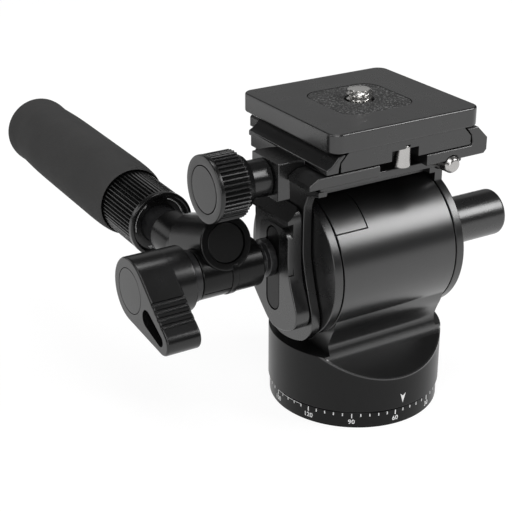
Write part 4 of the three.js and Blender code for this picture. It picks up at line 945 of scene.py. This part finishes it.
# %% Stop pins and safety catch
for name, y in STOPS.items():
    pin = shifted(lathed([(0, 26.7, 0), (2.1, 26.7), (2.1, 32.3), (0, 32.3, 0)], 0.5, "z", 64), y=y)
    fitted(f"stop_pin_{name}", pin, tilt_place, "plate", bright_steel, [f"plate_stop_{name}"])
catch_profile = [(0, -20.2, 0), (1.5, -20.1), (2.2, -19.1), (2.2, -11.2), (0, -11.2, 0)]
catch = shifted(lathed(catch_profile, 0.8, "y", 64), x=CATCH_SIDE, z=CATCH_HEIGHT)
fitted("safety_catch_turned", catch, tilt_place, "safety_catch", bright_steel, ["safety_catch"])

# %% [markdown]
# ## The clamp's knob
# The knob is a turned and fluted wheel on a short neck, with a flat cap pressed into its face. The flutes
# are cut by letting the radius dip as the profile is carried round, between the rim and the back of the
# wheel.

# %% Clamp knob
WHEEL, RIB = 8.14, 8.1
wheel_profile = softened([(0, -45.2, 0), (5.75, -45.2), (5.75, -46.5), (WHEEL, -46.5), (WHEEL, -45.5),
                          (RIB, -45.4, 0)], 0.3)
wheel_profile += [(RIB, -45.3 + i * 0.25) for i in range(27)]
wheel_profile += softened([(RIB, -38.5, 0), (7.2, -38.2), (6.3, -36.4), (4.6, -36.4), (4.6, -30.5),
                           (2.3, -30.5), (2.3, -39.8), (0, -39.8, 0)], 0.2)
wheel = turned(wheel_profile, "x", 42 * FLUTE_STEPS, flutes(42, 0.8, -45.31, -38.5))
fitted("clamp_knob", wheel, knob_place, "qr_knob", knob_black, ["qr_knob"])
cap = lathed([(0, -46.5, 0), (5.6, -46.5), (5.6, -45.4), (0, -45.4, 0)], 0.12, "x", 128)
fitted("clamp_knob_cap", cap, knob_place, "qr_knob", knob_black, ["knob_cap"])

# %% [markdown]
# ## The lever
# The lever clamps the handle where it stands. Its round hub carries a tapering wing with a tear-shaped
# pocket in its face and grooves along its back, so that a thumb finds it. The hub's face has a flat cap
# over the screw.

# %% Lever
DROOP = math.radians(24)
HUB, TIP, WING = 8.1, 3.2, 16.6


def on_wing(along, up=0.0):
    """A place on the wing: so far along it from the hub, so far to its upper side."""
    return (-along * math.cos(DROOP) - up * math.sin(DROOP), -along * math.sin(DROOP) + up * math.cos(DROOP))


wing = milled(belt((0, 0), HUB, on_wing(WING), TIP, 24), "x", -64.3, -55.5, 0.55)
hub = rod("x", 8.04, -60, -50.5, 0.5, 128)
pocket = milled(belt(on_wing(9.3), 2.3, on_wing(15.9), 1.5, 20), "x", -66, -58.9, 0)
taper = (HUB - TIP) / WING
grooves = []
for groove in range(4):
    along = 9.9 + groove * 1.8
    y, z = on_wing(along, (HUB - along * taper) / math.cos(math.asin(taper)))
    grooves.append(shifted(rod("x", 0.62, -66, -54, 0, 24), y=y, z=z))
lever = cut(join(wing, hub), pocket, rod("x", 5.65, -66, -63.1), rod("x", 5.4, -58.5, -49, 0, 64), *grooves)
fitted("lever_milled", lever, stub_place, "lever", lever_black, ["lever"], 0.2)

# %% Lever's cap and nut
cap = lathed([(0, -64.3, 0), (5.5, -64.3), (5.5, -63.3), (0, -63.3, 0)], 0.12, "x", 128)
fitted("lever_cap_turned", cap, stub_place, "lever", lever_black, ["lever_cap"])
nut_profile = [(2.2, -58.2), (5.2, -58.2), (5.2, -50.2), (6.4, -50.2), (6.4, -48.2), (4.2, -48.2),
               (4.2, -56.5), (2.2, -56.5)]
fitted("lever_nut_turned", lathed(nut_profile, 0.25, "x"), stub_place, "lever", black_steel, ["lever_nut"])

# %% [markdown]
# ## The handle's knuckle
# The knuckle is a cast barrel across the handle, with a round boss that leans forward and a neck for the
# tube. The boss has a flat plug let into its face. The three forms are joined first and bored afterwards.

# %% Knuckle
BOSS_LEAN = Matrix.Rotation(math.radians(-20), 4, "X")
BOSS_RISE = 7.1
BOSS_FRONT = -3.9


def leaning(mesh):
    return shifted(mesh, z=BOSS_RISE, turn=BOSS_LEAN)


crosswise = rod("x", 6.2, -7.3, 9.4, 0.35, 128)
band = rod("x", 6.45, 0.4, 2.1, 0.15, 128)
boss = leaning(rod("y", 6.8, BOSS_FRONT, 13.4, 0.5, 128))
neck_profile = [(0, 4.5, 0), (6.9, 4.5), (6.9, 9, 2.0), (5.9, 15.9, 3.0), (5.9, 24.3, 0.4), (0, 24.3, 0)]
neck = lathed(neck_profile, 0.4, "y", 128)
bores = [rod("x", 4.2, -15, 13, 0, 64), rod("y", 5.3, 11.7, 26, 0, 64),
         leaning(rod("y", 5.0, BOSS_FRONT - 2, BOSS_FRONT + 1.8))]
knuckle = cut(join(crosswise, band, boss, neck), *bores)
fitted("handle_knuckle_cast", knuckle, handle_place, "handle", dull_black, ["handle_knuckle"], 0.2)
plug_profile = [(0, BOSS_FRONT + 0.3, 0), (4.75, BOSS_FRONT + 0.3), (4.75, BOSS_FRONT + 1.5),
                (0, BOSS_FRONT + 1.5, 0)]
fitted("knuckle_plug", leaning(lathed(plug_profile, 0.2, "y")), handle_place, "handle",
       moulded_black, ["knuckle_cap"])

# %% [markdown]
# ## Tube, lock collar and grip
# The tube slides in the grip's tube, and a fluted collar locks it. Three faint arrows on the collar's face
# tell which way to turn it. The foam grip is a soft sleeve: it has a rounded lip round the collar, a slight
# waist near the end, where it was clamped, and a round end.

# %% Tube and collar
fitted("handle_tube", tube("y", 3.9, 5, 12, 104, 0.2), handle_place, "handle", black_steel, ["inner_tube"])
COLLAR_LIP, COLLAR = 8.8, 8.7
collar_profile = softened([(7.7, 32, 0), (7.7, 29), (COLLAR_LIP, 29), (COLLAR_LIP, 30.4),
                           (COLLAR, 30.5, 0)], 0.3)
collar_profile += [(COLLAR, 30.6 + i * 0.4) for i in range(46)]
collar_profile += softened([(COLLAR, 48.9, 0), (8.2, 49), (7.3, 49), (7.3, 32), (5.3, 32), (5.3, 30.5),
                            (7.7, 30.5)], 0.12)[:-1]
collar_profile += [(7.7, 30.5), (7.7, 32)]
collar = turned(collar_profile, "y", 52 * FLUTE_STEPS, flutes(52, 0.9, 30.55, 48.75))
fitted("lock_collar_knurled", collar, handle_place, "lock_collar", knob_black, ["lock_collar"])

# %% Arrows on the collar's face
ARROW_RADIUS, ARROW_FACE = 6.75, 30.47
SHAFT_HALF, HEAD_HALF = 0.14, 0.55
arrows = bmesh.new()


def on_face(angle, off_middle):
    """A corner on the collar's face: at an angle round the tube, so far off the arrow's middle line."""
    radius = ARROW_RADIUS + off_middle
    return arrows.verts.new((radius * math.sin(angle), ARROW_FACE, radius * math.cos(angle)))


for turn in range(3):
    start = math.radians(20 + 120 * turn)
    for step in range(12):
        low, high = (start + math.radians(5 * share) for share in (step, step + 1))
        arrows.faces.new([on_face(low, -SHAFT_HALF), on_face(high, -SHAFT_HALF), on_face(high, SHAFT_HALF),
                          on_face(low, SHAFT_HALF)])
    tip = start + math.radians(60)
    arrows.faces.new([on_face(tip, -HEAD_HALF), on_face(tip + math.radians(10), 0), on_face(tip, HEAD_HALF)])
bmesh.ops.remove_doubles(arrows, verts=arrows.verts, dist=1e-4)
fitted("collar_arrows", painted(arrows, lambda middle: Vector((0, -1, 0))), handle_place, "lock_collar",
       mark_grey)

# %% Foam grip
skin_line = [(8.95, 47.4), (8.98, 46.4), (9.12, 46.0), (9.35, 46.4), (9.6, 47.6), (9.8, 49.5), (9.93, 52),
             (10.0, 56), (10.0, 62), (10.0, 80), (9.95, 92), (9.72, 99), (9.55, 103), (9.68, 106),
             (9.72, 107.8), (9.4, 109.6), (8.4, 110.9), (6.6, 111.4)]
grip_profile = [(8.95, 50), *curved(skin_line), (3, 111.5), (0, 111.5), (0, 110.9), (7.3, 110.9), (7.3, 50),
                (8.95, 50)]
grip_piece = fitted("foam_grip_sleeve", turned(grip_profile, "y", 128), handle_place, "grip",
                    grip_foam, ["foam_grip"])

# %% [markdown]
# ## The pan lock's knob
# A small fluted knob at the back of the drum presses a pad against the base's hub, so that the head stops
# panning.

# %% Pan lock knob
LOCK_RIB = 6.02
lock_profile = softened([(2.3, 23.3, 0), (4.9, 23.3), (5.3, 24.3), (LOCK_RIB, 24.4, 0)], 0.2)
lock_profile += [(LOCK_RIB, 24.5 + i * 0.3) for i in range(20)]
lock_profile += softened([(LOCK_RIB, 30.3, 0), (5.3, 31.3), (0, 31.3, 0)], 0.4)
lock_profile += [(0, 29.6), (2.3, 29.6), (2.3, 23.3)]
lock_knob = turned(lock_profile, "y", 20 * FLUTE_STEPS, flutes(20, 0.6, 24.45, 30.2))
fitted("pan_lock_wheel", shifted(lock_knob, z=LOCK_HEIGHT), base_place, "pan_lock_knob",
       dull_black, ["pan_lock_knob"])

# %% [markdown]
# ## The camera
# The photograph was taken from 31 degrees to the left of the front and 24 degrees above it, a third of a
# metre away, with a long lens. The camera is placed by these angles round the point that it looks at.

# %% Camera
TURN, RISE = math.radians(-31.38), math.radians(24.08)
DISTANCE = 341.4
LOOKED_AT = Vector((-21.93, 13.37, 37.72))
back = Vector((math.sin(TURN) * math.cos(RISE), -math.cos(TURN) * math.cos(RISE), math.sin(RISE)))
camera = bpy.data.objects.new("camera", bpy.data.cameras.new("camera"))
camera.data.lens = 93.8
camera.data.sensor_width = 36
camera.data.clip_start = 0.01
camera.location = (LOOKED_AT + back * DISTANCE) * MM
camera.rotation_euler = back.to_track_quat("Z", "Y").to_euler()
scene.collection.objects.link(camera)
scene.camera = camera
print("camera at", [round(v, 4) for v in camera.location])

# %% [markdown]
# ## Light
# Black metal shows what it reflects, and hardly anything else. The pale table lights it from below, so that
# upright faces and the undersides of the barrels look grey. The room itself is kept dark, and one softbox
# stands high at the front right, where the barrel and the waist mirror it towards the camera as bright
# bands. A wide and weaker one above the front left fills the faces that look at the camera. Small ones low
# in front, at the left, above and behind give the handle, the lever and the round edges there a soft line.

# %% Softboxes
LIT = Vector((0.0, 0.0, 0.04))
softboxes = {
    "front softbox": ((0.74, -0.6, 0.7), 0.56, 0.44, 7.0),
    "fill softbox": ((-0.55, -0.6, 0.9), 0.8, 0.8, 5.5),
    "low softbox": ((-0.55, -1.0, 0.3), 0.7, 0.3, 2.6),
    "left softbox": ((-0.62, 0.85, 0.36), 0.5, 0.35, 0.9),
    "top softbox": ((0.17, 0.2, 1.0), 0.4, 0.3, 2.0),
    "edge softbox": ((-0.8, 0.15, 0.72), 0.4, 0.4, 1.6),
    "back softbox": ((0.4, 0.95, 0.5), 1.0, 0.5, 0.5),
}
for name, (place, width, height, power) in softboxes.items():
    lamp = bpy.data.lights.new(name, "AREA")
    lamp.shape = "RECTANGLE"
    lamp.size = width
    lamp.size_y = height
    lamp.energy = power
    holder = bpy.data.objects.new(name, lamp)
    holder.location = place
    holder.rotation_euler = (Vector(place) - LIT).to_track_quat("Z", "Y").to_euler()
    scene.collection.objects.link(holder)
    print(name, "gives", power, "watts")

# %% World
room_levels = ((0.0, 0.5), (0.5, 0.04), (0.75, 0.05), (1.0, 0.08))  # from straight below to straight above
world = bpy.data.worlds.new("studio")
scene.world = world
world.use_nodes = True
room = Recipe(world.node_tree)
direction = room.add("ShaderNodeTexCoord", output=0)
height = room.add("ShaderNodeSeparateXYZ", None, {0: direction}, output=2)
surround = room.add("ShaderNodeValToRGB", {"stops": [(place, (level,) * 3) for place, level in room_levels]},
                    {0: height * 0.5 + 0.5})
glow = room.add("ShaderNodeBackground", None, {"Color": surround, "Strength": 1.0})
room.add("ShaderNodeOutputWorld", None, {"Surface": glow})
print("world has", len(world.node_tree.nodes), "nodes")

# %% [markdown]
# ## The table
# The head stands on plain white paper that runs on behind it. The camera should see it as white as the
# background, and so should the metal that reflects it, but the soft shadow under the base has to stay. So
# the paper mixes plain matt white with a glow of its own, for these rays alone.

# %% Table
TABLE_REACH = 3.0
PAPER_GLOW = 1.12
GLOW_SHARE = 0.8
table_mesh = bpy.data.meshes.new("table")
sides = ((-1, -1), (1, -1), (1, 1), (-1, 1))
table_mesh.from_pydata([(x * TABLE_REACH, y * TABLE_REACH, 0) for x, y in sides], [], [(0, 1, 2, 3)])
table = bpy.data.objects.new("table", table_mesh)
scene.collection.objects.link(table)
paper = bpy.data.materials.new("white paper")
paper.use_nodes = True
sheet = Recipe(paper.node_tree)
matt = sheet.add("ShaderNodeBsdfDiffuse", None, {"Color": grey(0.8)})
glow = sheet.add("ShaderNodeEmission", None, {"Color": grey(1.0), "Strength": PAPER_GLOW})
camera_ray, glossy_ray, through_ray = (sheet.add("ShaderNodeLightPath", output=ray) for ray in (0, 3, 6))
share = (camera_ray + glossy_ray + through_ray) * GLOW_SHARE
chosen = sheet.add("ShaderNodeMixShader", None, {0: share, 1: matt, 2: glow})
sheet.add("ShaderNodeOutputMaterial", None, {"Surface": chosen})
table_mesh.materials.append(paper)

# %% [markdown]
# ## The view transform
# The picture is shown with the plain Standard view transform.

# %% View transform
scene.view_settings.view_transform = "Standard"
